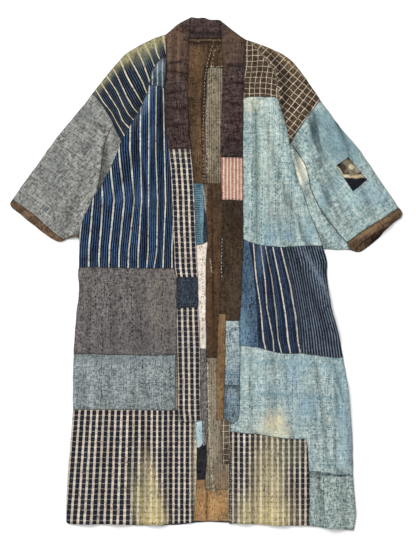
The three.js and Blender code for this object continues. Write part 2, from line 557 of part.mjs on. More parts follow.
// Fronts, shoulders and sleeve tops, which carry the folds
const foldedPieces = [
  ['right_shoulder', cloth.indigo,
    ['rShoulderEdge', 'rArmhole', 'rArmholeLow', 'rYokeTail', 'rUnderYoke', 'rFoldTip', 'rYokeCut',
      'rCollarOutTop']],
  ['right_front_gray', cloth.slate,
    ['rGrayTop', 'rSideGray', 'rGrayFoot', 'rStripTop', 'rBandOut3', 'rBandOut2', 'rBandOut1b']],
  ['right_front_blue_gray', cloth.greyBlue, ['rGrayFoot', 'rSideBlue', 'rHemTop', 'rStripSide']],
  ['right_edge_gray_strip', cloth.slate, ['rStripTop', 'rBandOut4', 'rStripFoot', 'rStripSide']],
  ['right_hem_check', cloth.check,
    ['rHemTop', 'rStripFoot', 'rBandOut5', 'rBandFoot', 'rHemInner', 'rHem', 'rSideHem']],
  ['right_gusset', cloth.slub, ['rArmholeLow', 'rYokeTail', 'rUnderGusset', 'rGussetTail', 'rGussetIn']],
  ['right_sleeve_front', cloth.slub,
    ['rArmhole', 'rGussetIn', 'rGussetTail', 'rUnderSleeve', 'rSleeveFoot', 'rGussetFoot', 'rCuffEnd',
      'rCuffSeam', 'rSleeveTop']],
  ['right_cuff_front', cloth.rust, ['rCuffSeam', 'rCuffLip', 'rCuffEnd']],
  ['left_shoulder_check', cloth.brownCheck,
    ['lShoulderEdge', 'lArmhole', 'lYokeTail', 'lUnderYoke', 'lPaleTop', 'lCollarOutTop']],
  ['left_front_mid_blue', cloth.midBlue,
    ['lPaleFootA', 'lBlueSide', 'lTealTopA', 'lBandOut3', 'lBandOut2b']],
  ['left_front_navy_stripe', cloth.navy, ['lPaleFootB', 'lFineSide', 'lTealTopB', 'lBlueSide']],
  ['left_front_fine_stripe', cloth.slateStripe,
    ['lPaleFootC', 'lSideTop', 'lSideFine', 'lTealTopC', 'lFineSide']],
  ['left_front_teal', cloth.teal,
    ['lTealTopA', 'lTealTopB', 'lTealTopC', 'lSideTeal', 'lCornerTop', 'lHemSide', 'lHemTop', 'lTealToe',
      'lBandOut5', 'lBandOut4']],
  ['left_hem_check', cloth.check, ['lHemTop', 'lHemSide', 'lHemSideLow', 'lHem', 'lHemInner', 'lFacingOut']],
  ['left_hem_corner', cloth.sage, ['lCornerTop', 'lSideCorner', 'lCornerHem', 'lHemSideLow']],
  ['left_gusset', cloth.pale,
    ['lGussetSeam', 'lGussetEnd', 'lGussetFoot', 'lSideTop', 'lArmSeam', 'lUnderGusset', 'lYokeTail']],
  ['left_sleeve_front', cloth.pale, ['lArmhole', 'lGussetSeam', 'lCuffSeam', 'lSleeveTop']],
  ['left_cuff_front', cloth.rust, ['lCuffSeam', 'lGussetEnd', 'lCuffFoot', 'lCuffLip', 'lCuffTop']],
];
for (const [name, color, outline] of foldedPieces) {
  add(name, color, ROUGH, foldedPiece(outline));
}

// Fronts whose outer edge is folded back over the shoulder, gusset and sleeve
const rightLap = lappedLevel([...seams.rFoldTip, ...seams.rFoldUpper.slice(1), ...seams.rFold.slice(1)]);
const leftLap = lappedLevel(seams.lFold);
add('right_front_upper', cloth.paleIndigo, ROUGH,
  foldedPiece(['rYokeCut', 'rCollarOutMid', 'rCross', 'rFoldUpper', 'rFoldTip'], rightLap));
add('right_front_stripe', cloth.stripe, ROUGH,
  foldedPiece(['rCross', 'rFold', 'rSideTop', 'rGrayTop', 'rBandOut1', 'rCollarOutLow'], rightLap));
add('left_front_pale', cloth.pale, ROUGH,
  foldedPiece(['lPaleTop', 'lPaleTopEnd', 'lFold', 'lArmSeam', 'lPaleFootC', 'lPaleFootB', 'lPaleFootA',
    'lBandOut2a', 'lBandOut1', 'lCollarOutLow'], leftLap));

// Pieced patch sewn on the wearer's left sleeve
const onSleeve = (x, y) => foldedLevel(x, y) + FRONT_WALL + SEAM_GAP;
add('left_sleeve_patch', cloth.inkBlack, ROUGH, foldedPiece(['sleevePatch'], onSleeve, PATCH_WALL));

export default coat;
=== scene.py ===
"""Looks of a patched boro coat of indigo and brown cottons, laid flat and open down the front."""
import json
import math

import bpy
import numpy as np
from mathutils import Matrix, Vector
from mathutils.geometry import delaunay_2d_cdt


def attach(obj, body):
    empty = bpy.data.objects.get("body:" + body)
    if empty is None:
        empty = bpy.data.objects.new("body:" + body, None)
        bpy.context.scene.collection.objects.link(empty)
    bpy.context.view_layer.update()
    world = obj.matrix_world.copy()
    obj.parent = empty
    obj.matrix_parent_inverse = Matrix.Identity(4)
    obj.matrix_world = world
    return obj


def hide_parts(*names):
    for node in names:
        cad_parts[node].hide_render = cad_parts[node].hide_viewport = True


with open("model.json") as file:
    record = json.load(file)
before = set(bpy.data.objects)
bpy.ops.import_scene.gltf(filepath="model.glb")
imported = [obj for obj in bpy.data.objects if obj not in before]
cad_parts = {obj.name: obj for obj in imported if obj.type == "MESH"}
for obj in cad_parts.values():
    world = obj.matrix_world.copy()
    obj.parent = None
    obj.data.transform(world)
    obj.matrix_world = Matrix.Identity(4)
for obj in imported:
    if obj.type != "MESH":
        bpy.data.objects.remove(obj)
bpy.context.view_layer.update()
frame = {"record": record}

# ---- Driving sizes, in millimetres as the coat was cut ----
MM = 0.001
SEAM_GAP = 0.3           # space left between neighbouring pieces
BACK_TOP = 2.0           # upper side of the back cloth
FRONT_LEVEL = 4.0        # underside of the fronts where no fold lifts them
FRONT_WALL = 2.0         # from there to the front's upper side
BACK_CLOTH = 1.8         # thickness of the back cloth
CLOTH = 1.5              # one thickness of mended cloth
PATCH_WALL = 1.2         # one layer of patch cloth
COLLAR_WALL = 5.0        # folded collar band
NECK_WALL = 8.5          # the collar where it turns over behind the neck
BAND_WALL = 3.5          # front bands, cloth turned double
SINGLE = 2.0             # cloth thinner than this turns down to the floor at the coat's edge
FLOOR_GAP = 0.2          # the lowest cloth lies this far above the floor
LAP_LIFT = 3.0           # how far a front folded over its neighbour is lifted
LAP_FLAT = 16.0          # that lift is full this near the folded edge
LAP_FADE = 44.0          # and fades out over this much more
LAP_ROLL = 5.0           # width over which the folded edge rolls under
LAP_DROP = 3.4           # how far it rolls down
RIM_ROUND = 9.0          # width over which the cloth turns down at the outer edges
RIM_TOP = 3.2            # its upper side at the very edge
AT_RIM = 1.2             # a point this near the outer edge belongs to it
RIM_REACH = 12           # distances to the outer edge are worked out this near it
EDGE_ROUND = 4.5         # width over which a piece's own edge is rounded
LOWEST_FOLD = 2.5        # a trough ends where it meets the back cloth
SOFT_STOP = 0.7          # how gently it ends
NEAR_STEPS = ((5, 0), (-5, 0), (0, 5), (0, -5))      # where the cloth close by is felt
NEAR_DEPTH = 1.8         # this far below it, a point is wholly in shade
FAR_STEPS = ((13, 0), (-13, 0), (9, 9), (-9, -9))    # and the same farther off
FAR_DEPTH = 5.0          # the depth that counts as full shade there
CORNER_EASE = 12.0       # a seam's corner is eased over this length
EDGE_WANDER = 0.8        # how far a hand-sewn edge strays
SEAM_SHADE = 20.0        # width over which the seam attribute runs from nought to one
PIPING_SHADE = 1.5       # the same on the thin piping
SHARP_FOLD = math.radians(50)  # faces that meet more sharply keep a crisp edge
END_SINK = 0.25          # how far a stitch's ends sink in the cloth
THREAD_SINK = 0.2        # and the root of a loose thread
STITCHES_LOST = 0.07     # share of stitches worn away
FINE = 3.6               # mesh spacing of the cloth that shows
FINEST = 1.8             # mesh spacing of the printed sleeve patch
COARSE = 9.0             # mesh spacing of the hidden back

# ---- Driving sizes and shades of the cloths ----
STRIPE = 24.0            # one repeat of the wide striped cottons
CHECK = 13.4             # one repeat of the navy check across the cloth
CHECK_LONG = 12.6        # and along it
BROWN_CHECK = 14.0       # one repeat of the brown check
FINE_STRIPE = 6.5        # one repeat of the fine stripe
PATCH_CHECK = 4.8        # one repeat of the printed sleeve patch
CHECK_BAND = 4 * CHECK   # width of the checked front band
FLOAT = (2.5, 6.5)       # width and length of one float of thread
KNOT = (2.4, 5.5)        # width and length of one dark gap between threads
RIB = 1.7                # pitch of the ribs in the bump
TROUGH_SHADE = 0.5       # how dark the bottom of a fold is
RIDGE_SHADE = 1.16       # how bright its crest is
# near black at the seam edges: seam dirt and painted seam shade
SEAM_DIRT_AND_SHADE = (0.015, 0.014, 0.014, 1.0)

# ---- Seams and edges: each is shared by the pieces on both its sides ----
SEAMS = {
    # wearer's right front, shoulder and sleeve
    "rSideTop": [(-305, 103), (-305, 81), (-306, 16)],
    "rSideGray": [(-306, 16), (-309, -3), (-304, -34), (-311, -89), (-317, -154), (-318, -192)],
    "rSideBlue": [(-318, -192), (-320, -233), (-320, -326)],
    "rSideHem": [(-320, -326), (-325, -401), (-334, -505), (-336, -598)],
    "rHem": [(-336, -598), (-330, -603), (-242, -602), (-136, -604), (-32, -599)],
    "rHemInner": [(-32, -599), (-26, -553), (-22, -490), (-22, -423), (-26, -357)],
    "rFoldTip": [(-110, 515), (-118, 507)],
    "rFoldUpper": [(-118, 507), (-125, 499), (-134, 470), (-137, 453)],
    "rFold": [
        (-137, 453), (-144, 424), (-158, 398), (-175, 369), (-192, 338), (-204, 319), (-216, 285),
        (-233, 249), (-247, 220), (-259, 202), (-274, 175), (-288, 146), (-302, 115), (-305, 103)],
    "rCross": [(-137, 453), (-99, 446)],
    "rYokeCut": [(-110, 515), (-96, 520)],
    "rCollarOutTop": [(-96, 576), (-96, 520)],
    "rCollarOutMid": [(-96, 520), (-96, 499), (-99, 446)],
    "rCollarOutLow": [(-99, 446), (-99, 405), (-97, 338), (-91, 300)],
    "rBandOut1": [(-91, 300), (-86, 261), (-82, 201), (-79, 105), (-75, 13)],
    "rBandOut1b": [(-75, 13), (-71, -9)],
    "rBandOut2": [(-71, -9), (-71, -82)],
    "rBandOut3": [(-71, -82), (-69, -195)],
    "rBandOut4": [(-69, -195), (-67, -257), (-67, -329)],
    "rBandOut5": [(-67, -329), (-62, -358)],
    "rBandFoot": [(-62, -358), (-26, -357)],
    "rBandToe": [(-26, -357), (-12, -351)],
    "rBandIn1": [(-37, 300), (-32, 249), (-29, 201), (-25, 105), (-20, -8)],
    "rBandIn2": [(-20, -8), (-18, -81)],
    "rBandIn3": [(-18, -81), (-14, -183), (-14, -267), (-12, -351)],
    "rBandCutA": [(-71, -9), (-20, -8)],
    "rBandCutB": [(-71, -82), (-18, -81)],
    "rGrayTop": [(-306, 16), (-194, 14), (-75, 13)],
    "rGrayFoot": [(-318, -192), (-230, -194), (-130, -197), (-74, -195)],
    "rStripTop": [(-74, -195), (-69, -195)],
    "rStripSide": [(-74, -195), (-74, -329)],
    "rHemTop": [(-320, -326), (-202, -326), (-74, -329)],
    "rStripFoot": [(-74, -329), (-67, -329)],
    "rShoulderEdge": [
        (-96, 576), (-134, 563), (-170, 544), (-197, 527), (-208, 513), (-230, 489), (-254, 458),
        (-274, 433)],
    "rArmhole": [(-274, 433), (-257, 417), (-242, 393), (-230, 374), (-222, 357)],
    "rArmholeLow": [(-222, 357), (-214, 338), (-204, 319)],
    "rYokeTail": [(-204, 319), (-191, 314)],
    "rUnderYoke": [
        (-191, 314), (-180, 333), (-163, 362), (-146, 391), (-132, 419), (-125, 448), (-122, 467),
        (-118, 507)],
    "rGussetIn": [(-222, 357), (-240, 326), (-247, 285), (-252, 244), (-259, 202)],
    "rGussetTail": [(-250, 190), (-259, 202)],
    "rUnderGusset": [(-191, 314), (-203, 279), (-220, 242), (-235, 212), (-250, 190)],
    "rUnderSleeve": [(-250, 190), (-262, 167), (-276, 139), (-290, 107), (-293, 89)],
    "rSleeveFoot": [(-293, 89), (-305, 88)],
    "rGussetFoot": [(-305, 88), (-319, 87), (-336, 83)],
    "rCuffEnd": [(-336, 83), (-347, 85)],
    "rBackArmEnd": [(-305, 103), (-305, 88)],
    "rCuffSeam": [(-347, 85), (-374, 105), (-398, 128), (-422, 149), (-446, 166), (-466, 178)],
    "rSleeveTop": [(-466, 178), (-446, 208), (-398, 273), (-350, 340), (-302, 395), (-274, 433)],
    "rCuffLip": [(-466, 178), (-474, 164), (-422, 124), (-382, 91), (-353, 75), (-336, 83)],
    "rBackArm": [(-204, 319), (-233, 249), (-259, 202), (-288, 146), (-305, 103)],
    "rCollarFoot": [(-91, 300), (-37, 300)],
    # collar and neck band
    "cRightIn": [(-37, 300), (-41, 345), (-43, 417), (-43, 489), (-41, 560)],
    "cRightPipe": [(-41, 560), (-40, 565)],
    "cRightInTop": [(-40, 565), (-38, 616)],
    "cRightTop": [(-38, 616), (-62, 603), (-86, 585), (-96, 576)],
    "neckTop": [(-38, 616), (-34, 617), (-19, 613), (-5, 616), (10, 609), (29, 611), (34, 609)],
    "neckFoot": [(-40, 565), (38, 565)],
    "pipeFoot": [(-41, 560), (38, 560)],
    "cLeftInTop": [(34, 609), (38, 565)],
    "cLeftPipe": [(38, 565), (38, 560)],
    "cLeftIn": [(38, 560), (41, 513), (38, 417), (35, 333), (36, 281)],
    "cLeftFoot": [(36, 281), (89, 278)],
    "cLeftTop": [(34, 609), (58, 590), (82, 571), (94, 563)],
    # wearer's left front, shoulder and sleeve
    "lCollarOutTop": [(94, 563), (93, 465), (90, 423)],
    "lCollarOutLow": [(90, 423), (89, 345), (89, 278)],
    "lShoulderEdge": [(94, 563), (130, 553), (178, 532), (206, 514), (226, 489), (250, 455), (275, 417)],
    "lArmhole": [(275, 417), (250, 388), (226, 350), (214, 334), (204, 314)],
    "lPaleTop": [(90, 423), (113, 427), (142, 424), (163, 424)],
    "lPaleTopEnd": [(163, 424), (175, 417)],
    "lFold": [(175, 417), (182, 393), (192, 364), (202, 314), (209, 273), (218, 237), (228, 208)],
    "lYokeTail": [(192, 309), (204, 314)],
    "lUnderYoke": [(192, 309), (180, 355), (170, 388), (163, 424)],
    "lUnderGusset": [(228, 208), (216, 206), (206, 235), (197, 271), (192, 309)],
    "lArmSeam": [(228, 208), (238, 177), (252, 136), (269, 100), (281, 67)],
    "lPaleFootA": [(90, 83), (103, 77)],
    "lPaleFootB": [(103, 77), (133, 67), (187, 64)],
    "lPaleFootC": [(187, 64), (253, 68), (281, 67)],
    "lBandOut1": [(89, 278), (89, 176)],
    "lBandOut2a": [(89, 176), (90, 83)],
    "lBandOut2b": [(90, 83), (87, 4), (84, -68), (81, -113)],
    "lBandOut3": [(81, -113), (82, -172)],
    "lBandOut4": [(82, -172), (81, -269)],
    "lBandOut5": [(81, -269), (80, -346), (67, -361), (58, -362)],
    "lBlueSide": [(103, 77), (114, 16), (122, -80), (126, -177)],
    "lFineSide": [(187, 64), (209, -27), (222, -101), (229, -191)],
    "lTealTopA": [(82, -172), (126, -177)],
    "lTealTopB": [(126, -177), (186, -193), (229, -191)],
    "lTealTopC": [(229, -191), (283, -199), (314, -203), (329, -199)],
    "lSideTop": [(281, 67), (283, 60)],
    "lSideFine": [(283, 60), (293, 27), (290, -1), (301, -80), (320, -143), (329, -199)],
    "lSideTeal": [(329, -199), (344, -282), (351, -375), (354, -485)],
    "lSideCorner": [(354, -485), (360, -560), (361, -588), (356, -617)],
    "lHemTop": [(58, -380), (124, -385), (186, -396), (242, -397)],
    "lHemSide": [(242, -397), (247, -454), (248, -476)],
    "lHemSideLow": [(248, -476), (249, -517), (247, -607)],
    "lCornerTop": [(248, -476), (283, -476), (314, -484), (354, -485)],
    "lHem": [(55, -601), (86, -600), (164, -605), (247, -607)],
    "lCornerHem": [(247, -607), (318, -614), (356, -617)],
    "lHemInner": [(55, -601), (54, -519), (56, -457)],
    "lFacingOut": [(56, -457), (58, -380)],
    "lTealToe": [(58, -380), (58, -362)],
    "lFacingIn": [(37, -352), (38, -457)],
    "lFacingFoot": [(38, -457), (56, -457)],
    "lPatchTop": [(44, -268), (81, -269)],
    "lPatchIn": [(44, -268), (43, -347)],
    "lPatchToe": [(43, -347), (54, -353), (58, -362)],
    "lBlueTop": [(48, -112), (81, -113)],
    "lBlueIn": [(48, -112), (46, -183), (44, -268)],
    "lTanTop": [(30, -96), (48, -97)],
    "lTanTopIn": [(48, -97), (48, -112)],
    "lTanIn": [(30, -96), (27, -171), (25, -257), (25, -352)],
    "lTanFoot": [(25, -352), (37, -352)],
    "lTanToe": [(37, -352), (43, -347)],
    "lBrownIn": [(38, 178), (37, 98), (35, -20), (30, -96)],
    "lPinkFoot": [(38, 178), (89, 176)],
    "lPinkIn": [(36, 281), (38, 178)],
    "lGussetSeam": [
        (204, 314), (226, 283), (238, 261), (247, 230), (252, 199), (271, 160), (298, 124), (322, 93),
        (338, 75)],
    "lGussetEnd": [(338, 75), (346, 57)],
    "lGussetFoot": [(346, 57), (317, 58), (283, 60)],
    "lSleeveTop": [(275, 417), (322, 352), (370, 297), (418, 225), (463, 159)],
    "lCuffSeam": [(463, 159), (437, 141), (414, 127), (390, 113), (371, 100), (354, 86), (338, 75)],
    "lCuffTop": [(463, 159), (474, 145), (468, 134)],
    "lCuffLip": [(468, 134), (442, 117), (416, 104), (396, 93), (373, 75), (364, 65), (362, 52)],
    "lCuffBackLip": [(468, 134), (437, 111), (411, 81), (390, 64), (372, 51), (362, 52)],
    "lCuffFoot": [(362, 52), (346, 57)],
    "lBackArm": [(204, 314), (228, 208), (252, 136), (281, 67)],
    "sleevePatch": [(341, 280), (311, 259), (350, 196), (386, 225), (341, 280)],
    # back panels
    "backYokeR": [(-204, 319), (0, 319)],
    "backYokeL": [(0, 319), (204, 314)],
    "backNeckR": [(-96, 576), (-86, 583), (-62, 599), (-43, 609), (-40, 565), (0, 565)],
    "backNeckL": [(0, 565), (38, 565), (38, 602), (58, 587), (82, 568), (94, 563)],
    "backCentreTop": [(0, 565), (0, 319)],
    "backCentre": [(0, 319), (0, -597)],
    "backHemR": [
        (-336, -598), (-330, -603), (-242, -603), (-136, -606), (-82, -605), (-32, -600), (0, -597)],
    "backHemL": [(0, -597), (58, -599), (164, -605), (247, -607), (318, -614), (356, -617)],
    # patches on the inside of the back, in the opening
    "seamFoldL": [
        (16, 559), (6, 532), (-1, 508), (-6, 477), (-9, 441), (-12, 393), (-11, 345), (-7, 261), (-5, 217)],
    "foldCap": [(16, 559), (24, 559)],
    "seamFoldR": [(24, 559), (14, 532), (10, 519), (5, 495)],
    "seamFoldR2": [(5, 495), (2, 477), (-1, 429), (-3, 369), (-1, 297), (2, 217)],
    "inEdgeTopL": [(-62, 559), (16, 559)],
    "inEdgeTopR": [(24, 559), (55, 559)],
    "inRightA": [(55, 559), (55, 495)],
    "inRightB": [(55, 495), (55, 217)],
    "inRightC": [(55, 217), (55, -202)],
    "inRightD": [(55, -202), (55, -332), (77, -361), (77, -519)],
    "inRightE": [(77, -519), (77, -595)],
    "inLeftA": [(-62, 559), (-62, 217)],
    "inLeftB": [(-53, 217), (-53, 68)],
    "inLeftC": [(-53, 68), (-48, -178)],
    "inLeftD": [(-48, -178), (-48, -356)],
    "inLeftE": [(-48, -356), (-48, -420)],
    "inLeftF": [(-48, -420), (-48, -495)],
    "inLeftG": [(-48, -495), (-48, -595)],
    "oliveFoot": [(5, 495), (55, 495)],
    "brownFootA": [(-62, 217), (-53, 217)],
    "brownFootB": [(-53, 217), (-5, 217)],
    "foldFoot": [(-5, 217), (2, 217)],
    "grayFoot": [(2, 217), (55, 217)],
    "blueSide": [(-4, 164), (-6, 73)],
    "darkSide1": [(-5, 217), (-4, 164)],
    "darkSide2": [(-4, 164), (2, 127), (4, 79)],
    "creamSide": [(4, 79), (-1, 16), (0, -63), (0, -181)],
    "darkSide3": [(0, -181), (1, -202)],
    "blueFoot": [(-53, 68), (-22, 68), (-6, 73)],
    "sliverFoot": [(-6, 73), (4, 79)],
    "creamFoot": [(-48, -178), (0, -181)],
    "darkFoot": [(1, -202), (55, -202)],
    "oliveLowIn": [(1, -202), (2, -281), (6, -356), (3, -404), (0, -412)],
    "iceTop": [(-48, -356), (-8, -352)],
    "iceSide": [(-8, -352), (-8, -409)],
    "iceFoot": [(-48, -420), (-17, -420), (-8, -409)],
    "blackTop": [(-8, -409), (0, -412)],
    "blackSide": [(0, -412), (2, -435), (-1, -495)],
    "blackFoot": [(-48, -495), (-1, -495)],
    "tanSide": [(-1, -495), (-2, -519)],
    "oliveLowFoot": [(-2, -519), (77, -519)],
    "tanFoot": [(-48, -595), (2, -596), (77, -595)],
}

# Main folds: half width, height and line of each
FOLDS = {
    "rightRoll": (30, 8, [
        (-110, 484), (-130, 422), (-146, 383), (-168, 343), (-190, 304), (-211, 254), (-235, 206),
        (-259, 163), (-278, 119), (-288, 57)]),
    "rightPinch": (24, 10, [(-134, 417), (-142, 333), (-149, 273), (-156, 201), (-163, 117), (-166, 45)]),
    "rightPinchInner": (20, 7, [(-118, 393), (-125, 297), (-127, 201), (-125, 105), (-130, 28)]),
    "rightSweep": (40, 6, [(-202, 249), (-223, 141), (-238, 28), (-245, -87), (-250, -171)]),
    "rightBelly": (36, 5, [(-180, 141), (-190, 28), (-192, -87), (-192, -183)]),
    "rightGrayInner": (34, 5, [(-122, -27), (-122, -135), (-118, -243), (-115, -315)]),
    "rightLowOuter": (34, 6, [(-266, -255), (-271, -375), (-281, -495), (-288, -601)]),
    "rightLowMid": (34, 7, [(-197, -303), (-202, -399), (-206, -507), (-211, -603)]),
    "rightLowInner": (34, 8, [(-115, -351), (-118, -471), (-122, -605)]),
    "rightYoke": (36, 5, [(-130, 532), (-163, 470), (-202, 398)]),
    "rightSleeveCrest": (44, 7, [(-259, 388), (-307, 321), (-360, 239), (-408, 158)]),
    "rightSleeveUnder": (30, 9, [(-235, 359), (-259, 292), (-269, 225), (-293, 153), (-317, 95)]),
    "rightSleeveBelly": (40, 5, [(-293, 261), (-336, 189), (-379, 119)]),
    "leftRoll": (28, 8, [(158, 407), (168, 364), (180, 316), (190, 273), (202, 230), (216, 182)]),
    "leftArm": (26, 7, [(221, 196), (235, 148), (252, 105), (266, 67)]),
    "leftPaleMid": (32, 4, [(139, 393), (139, 273), (144, 153), (149, 71)]),
    "leftStripeFan": (26, 5, [(125, 57), (134, -39), (144, -147)]),
    "leftStripeFanOuter": (26, 5, [(178, 52), (194, -63), (206, -171)]),
    "leftFineFold": (28, 11, [(230, 57), (250, 21), (274, -29), (300, -94), (314, -147)]),
    "leftTealInner": (30, 7, [(134, -188), (132, -267), (134, -363)]),
    "leftTealMid": (38, 5, [(226, -226), (233, -303), (238, -380)]),
    "leftTealOuter": (28, 7, [(288, -236), (305, -339), (317, -452)]),
    "leftTealEdge": (24, 9, [(334, -267), (334, -351), (334, -459)]),
    "leftLowInner": (30, 6, [(96, -399), (94, -495), (91, -601)]),
    "leftLowMid": (38, 7, [(180, -411), (178, -507), (178, -603)]),
    "leftLowOuter": (34, 8, [(300, -495), (305, -610)]),
    "leftYokeInner": (26, 6, [(125, 537), (146, 508), (163, 470), (168, 422)]),
    "leftYokeOuter": (34, 6, [(221, 475), (223, 417), (214, 350)]),
    "leftGusset": (22, 6, [(233, 268), (238, 213), (264, 139), (302, 81)]),
    "leftSleeveValleyIn": (24, 8, [(233, 350), (242, 297), (257, 235), (278, 167)]),
    "leftSleeveCrest": (40, 10, [(278, 388), (302, 316), (329, 235), (355, 158)]),
    "leftSleeveOuter": (40, 8, [(331, 326), (379, 244), (432, 158)]),
    "cuffMouth": (62, 14, [(410, 95), (379, 148), (350, 201)]),
}

# Finer creases and dents, as half widths to the left and right of a line, height and line
CREASES = [
    # wearer's right front
    (4, 16, 5.6, [(-156, 379), (-163, 340), (-158, 297), (-144, 249), (-137, 206)]),
    (14, 5, 4.5, [(-115, 388), (-125, 333), (-132, 273), (-134, 213), (-137, 165)]),
    (6, 6, -4.0, [(-106, 436), (-108, 369), (-108, 302)]),
    (10, 6, 3.0, [(-202, 268), (-216, 220), (-235, 165), (-250, 100), (-259, 28)]),
    (6, 12, 3.0, [(-173, 261), (-182, 201), (-190, 129), (-192, 45)]),
    (9, 9, 2.4, [(-226, 249), (-245, 196), (-262, 143)]),
    (12, 5, 2.4, [(-94, 249), (-96, 165), (-101, 81), (-103, 19)]),
    (16, 12, 1.0, [(-274, -15), (-264, -63), (-269, -123), (-278, -178)]),
    (14, 10, 1.0, [(-211, -3), (-202, -63), (-206, -135), (-211, -188)]),
    (12, 8, 1.0, [(-139, 4), (-134, -63), (-130, -159)]),
    (12, 14, -0.9, [(-168, -15), (-166, -87), (-170, -171)]),
    (14, 10, 1.2, [(-274, -207), (-278, -255), (-274, -303)]),
    (14, 10, 1.0, [(-187, -202), (-182, -255), (-190, -315)]),
    (10, 14, 1.0, [(-110, -207), (-106, -260), (-110, -315)]),
    (8, 22, 1.6, [(-238, -339), (-242, -411), (-247, -495), (-252, -596)]),
    (20, 8, 1.5, [(-158, -339), (-156, -423), (-158, -519), (-156, -601)]),
    (10, 16, 1.5, [(-58, -332), (-53, -423), (-48, -519), (-46, -591)]),
    (12, 12, -1.5, [(-197, -351), (-199, -447), (-204, -543), (-204, -601)]),
    (12, 12, -1.3, [(-96, -346), (-91, -435), (-86, -531), (-84, -598)]),
    (10, 10, -1.3, [(-274, -351), (-278, -435), (-288, -531), (-293, -596)]),
    # wearer's right shoulder and sleeve
    (12, 12, 2.0, [(-226, 532), (-202, 499), (-178, 455), (-163, 417)]),
    (10, 16, 2.0, [(-158, 551), (-144, 513), (-134, 470)]),
    (8, 14, 4.0, [(-247, 316), (-252, 292), (-257, 261), (-262, 230), (-271, 187)]),
    (12, 12, -3.0, [(-245, 350), (-240, 309), (-245, 268)]),
    (14, 10, 1.4, [(-283, 388), (-312, 335), (-346, 283), (-384, 230)]),
    (12, 12, 1.2, [(-322, 374), (-355, 321), (-398, 259)]),
    (10, 14, 1.4, [(-278, 297), (-302, 244), (-326, 191), (-350, 158)]),
    (8, 10, 2.0, [(-259, 220), (-283, 177), (-298, 139)]),
    (10, 10, -1.0, [(-293, 355), (-326, 297), (-360, 239)]),
    # wearer's left shoulder and front
    (5, 14, 4.0, [(134, 527), (151, 503), (166, 479), (173, 451), (175, 422)]),
    (10, 10, 2.0, [(197, 508), (206, 470), (216, 427)]),
    (7, 5, 2.0, [(106, 407), (108, 321), (106, 225), (108, 129), (106, 67)]),
    (6, 6, 2.2, [(134, 412), (134, 321), (132, 225), (137, 129), (137, 69)]),
    (6, 8, 1.8, [(170, 393), (168, 309), (166, 213), (168, 117), (175, 69)]),
    (6, 6, -1.4, [(120, 393), (120, 297), (122, 177), (122, 81)]),
    (5, 5, -1.2, [(151, 381), (149, 297), (151, 177), (154, 81)]),
    (6, 6, -1.0, [(187, 345), (185, 261), (190, 177), (197, 86)]),
    (6, 8, 2.4, [(206, 261), (209, 201), (214, 141), (223, 81)]),
    (5, 9, 3.0, [(204, 297), (216, 254), (228, 215)]),
    # wearer's left sleeve
    (14, 6, 4.0, [(240, 393), (245, 357), (254, 321), (269, 283)]),
    (10, 10, -3.0, [(259, 388), (264, 345), (274, 297)]),
    (14, 10, 1.8, [(298, 388), (312, 331), (326, 263), (336, 201)]),
    (10, 14, 1.8, [(331, 350), (360, 297), (389, 235), (413, 182)]),
    (10, 10, -1.5, [(312, 369), (336, 307), (355, 244)]),
    (7, 7, 3.0, [(437, 211), (427, 187), (418, 163), (408, 139)]),
    (8, 8, 1.6, [(278, 249), (298, 201), (317, 158), (331, 124)]),
    (8, 8, -2.2, [(259, 254), (278, 206), (298, 163)]),
    # wearer's left front, striped, teal and hem
    (5, 8, 3.0, [(122, 57), (130, -15), (137, -87), (146, -159)]),
    (5, 9, 3.4, [(154, 52), (166, -27), (175, -99), (180, -171)]),
    (5, 9, 3.4, [(194, 57), (206, -15), (218, -87), (226, -171)]),
    (8, 6, 3.0, [(264, 52), (283, -15), (300, -75), (307, -130)]),
    (6, 6, -3.0, [(216, 52), (233, -27), (247, -99), (252, -178)]),
    (12, 8, 1.4, [(101, -197), (98, -279), (103, -356)]),
    (8, 6, 2.0, [(134, -197), (137, -291), (134, -375)]),
    (12, 12, 1.2, [(202, -202), (206, -291), (216, -375)]),
    (8, 12, 1.8, [(254, -212), (266, -303), (276, -399), (283, -485)]),
    (10, 5, 2.4, [(314, -267), (329, -327), (336, -399), (338, -459)]),
    (8, 8, -1.6, [(293, -255), (305, -351), (310, -452)]),
    (8, 8, -1.2, [(163, -207), (168, -291), (168, -375)]),
    (10, 10, 1.4, [(91, -389), (89, -471), (89, -596)]),
    (12, 8, 1.5, [(134, -389), (134, -495), (134, -601)]),
    (8, 14, 1.5, [(216, -389), (218, -483), (221, -601)]),
    (10, 10, -1.3, [(110, -394), (110, -495), (110, -598)]),
    (12, 12, -1.3, [(173, -399), (175, -495), (178, -601)]),
    (9, 12, 3.0, [(278, -481), (288, -543), (298, -610)]),
]

# The coat's outer edge, where the cloth turns down to the back
RIMS = (
    "rShoulderEdge rSleeveTop rGussetFoot rSideTop rSideGray rSideBlue rSideHem "
    "lShoulderEdge lSleeveTop lGussetFoot lSideTop lSideFine lSideTeal lSideCorner").split()


# ---- Lines and soft noise ----
def line_of(name):
    """A seam's points, with its corners eased so that it runs as sewn cloth does."""
    points = np.array(SEAMS[name], float)
    closed = np.array_equal(points[0], points[-1])
    for _ in range(0 if closed else 2):
        eased = [points[0]]
        for before, here, after in zip(points, points[1:], points[2:]):
            for end in (before, after):
                share = min(0.25, CORNER_EASE / np.hypot(*(end - here)))
                eased.append(here + (end - here) * share)
        points = np.array(eased + [points[-1]])
    return points


def spread(points, step):
    """Points set evenly along a line, its corners kept."""
    out = []
    for a, b in zip(points, points[1:]):
        count = max(1, round(float(np.hypot(*(b - a))) / step))
        out += [a + (b - a) * k / count for k in range(count)]
    return np.array(out + [points[-1]])


def near_line(line, reach, x, y):
    """Which points lie in the box round a line, widened by reach."""
    low, high = line.min(0) - reach, line.max(0) + reach
    return (x > low[0]) & (x < high[0]) & (y > low[1]) & (y < high[1])


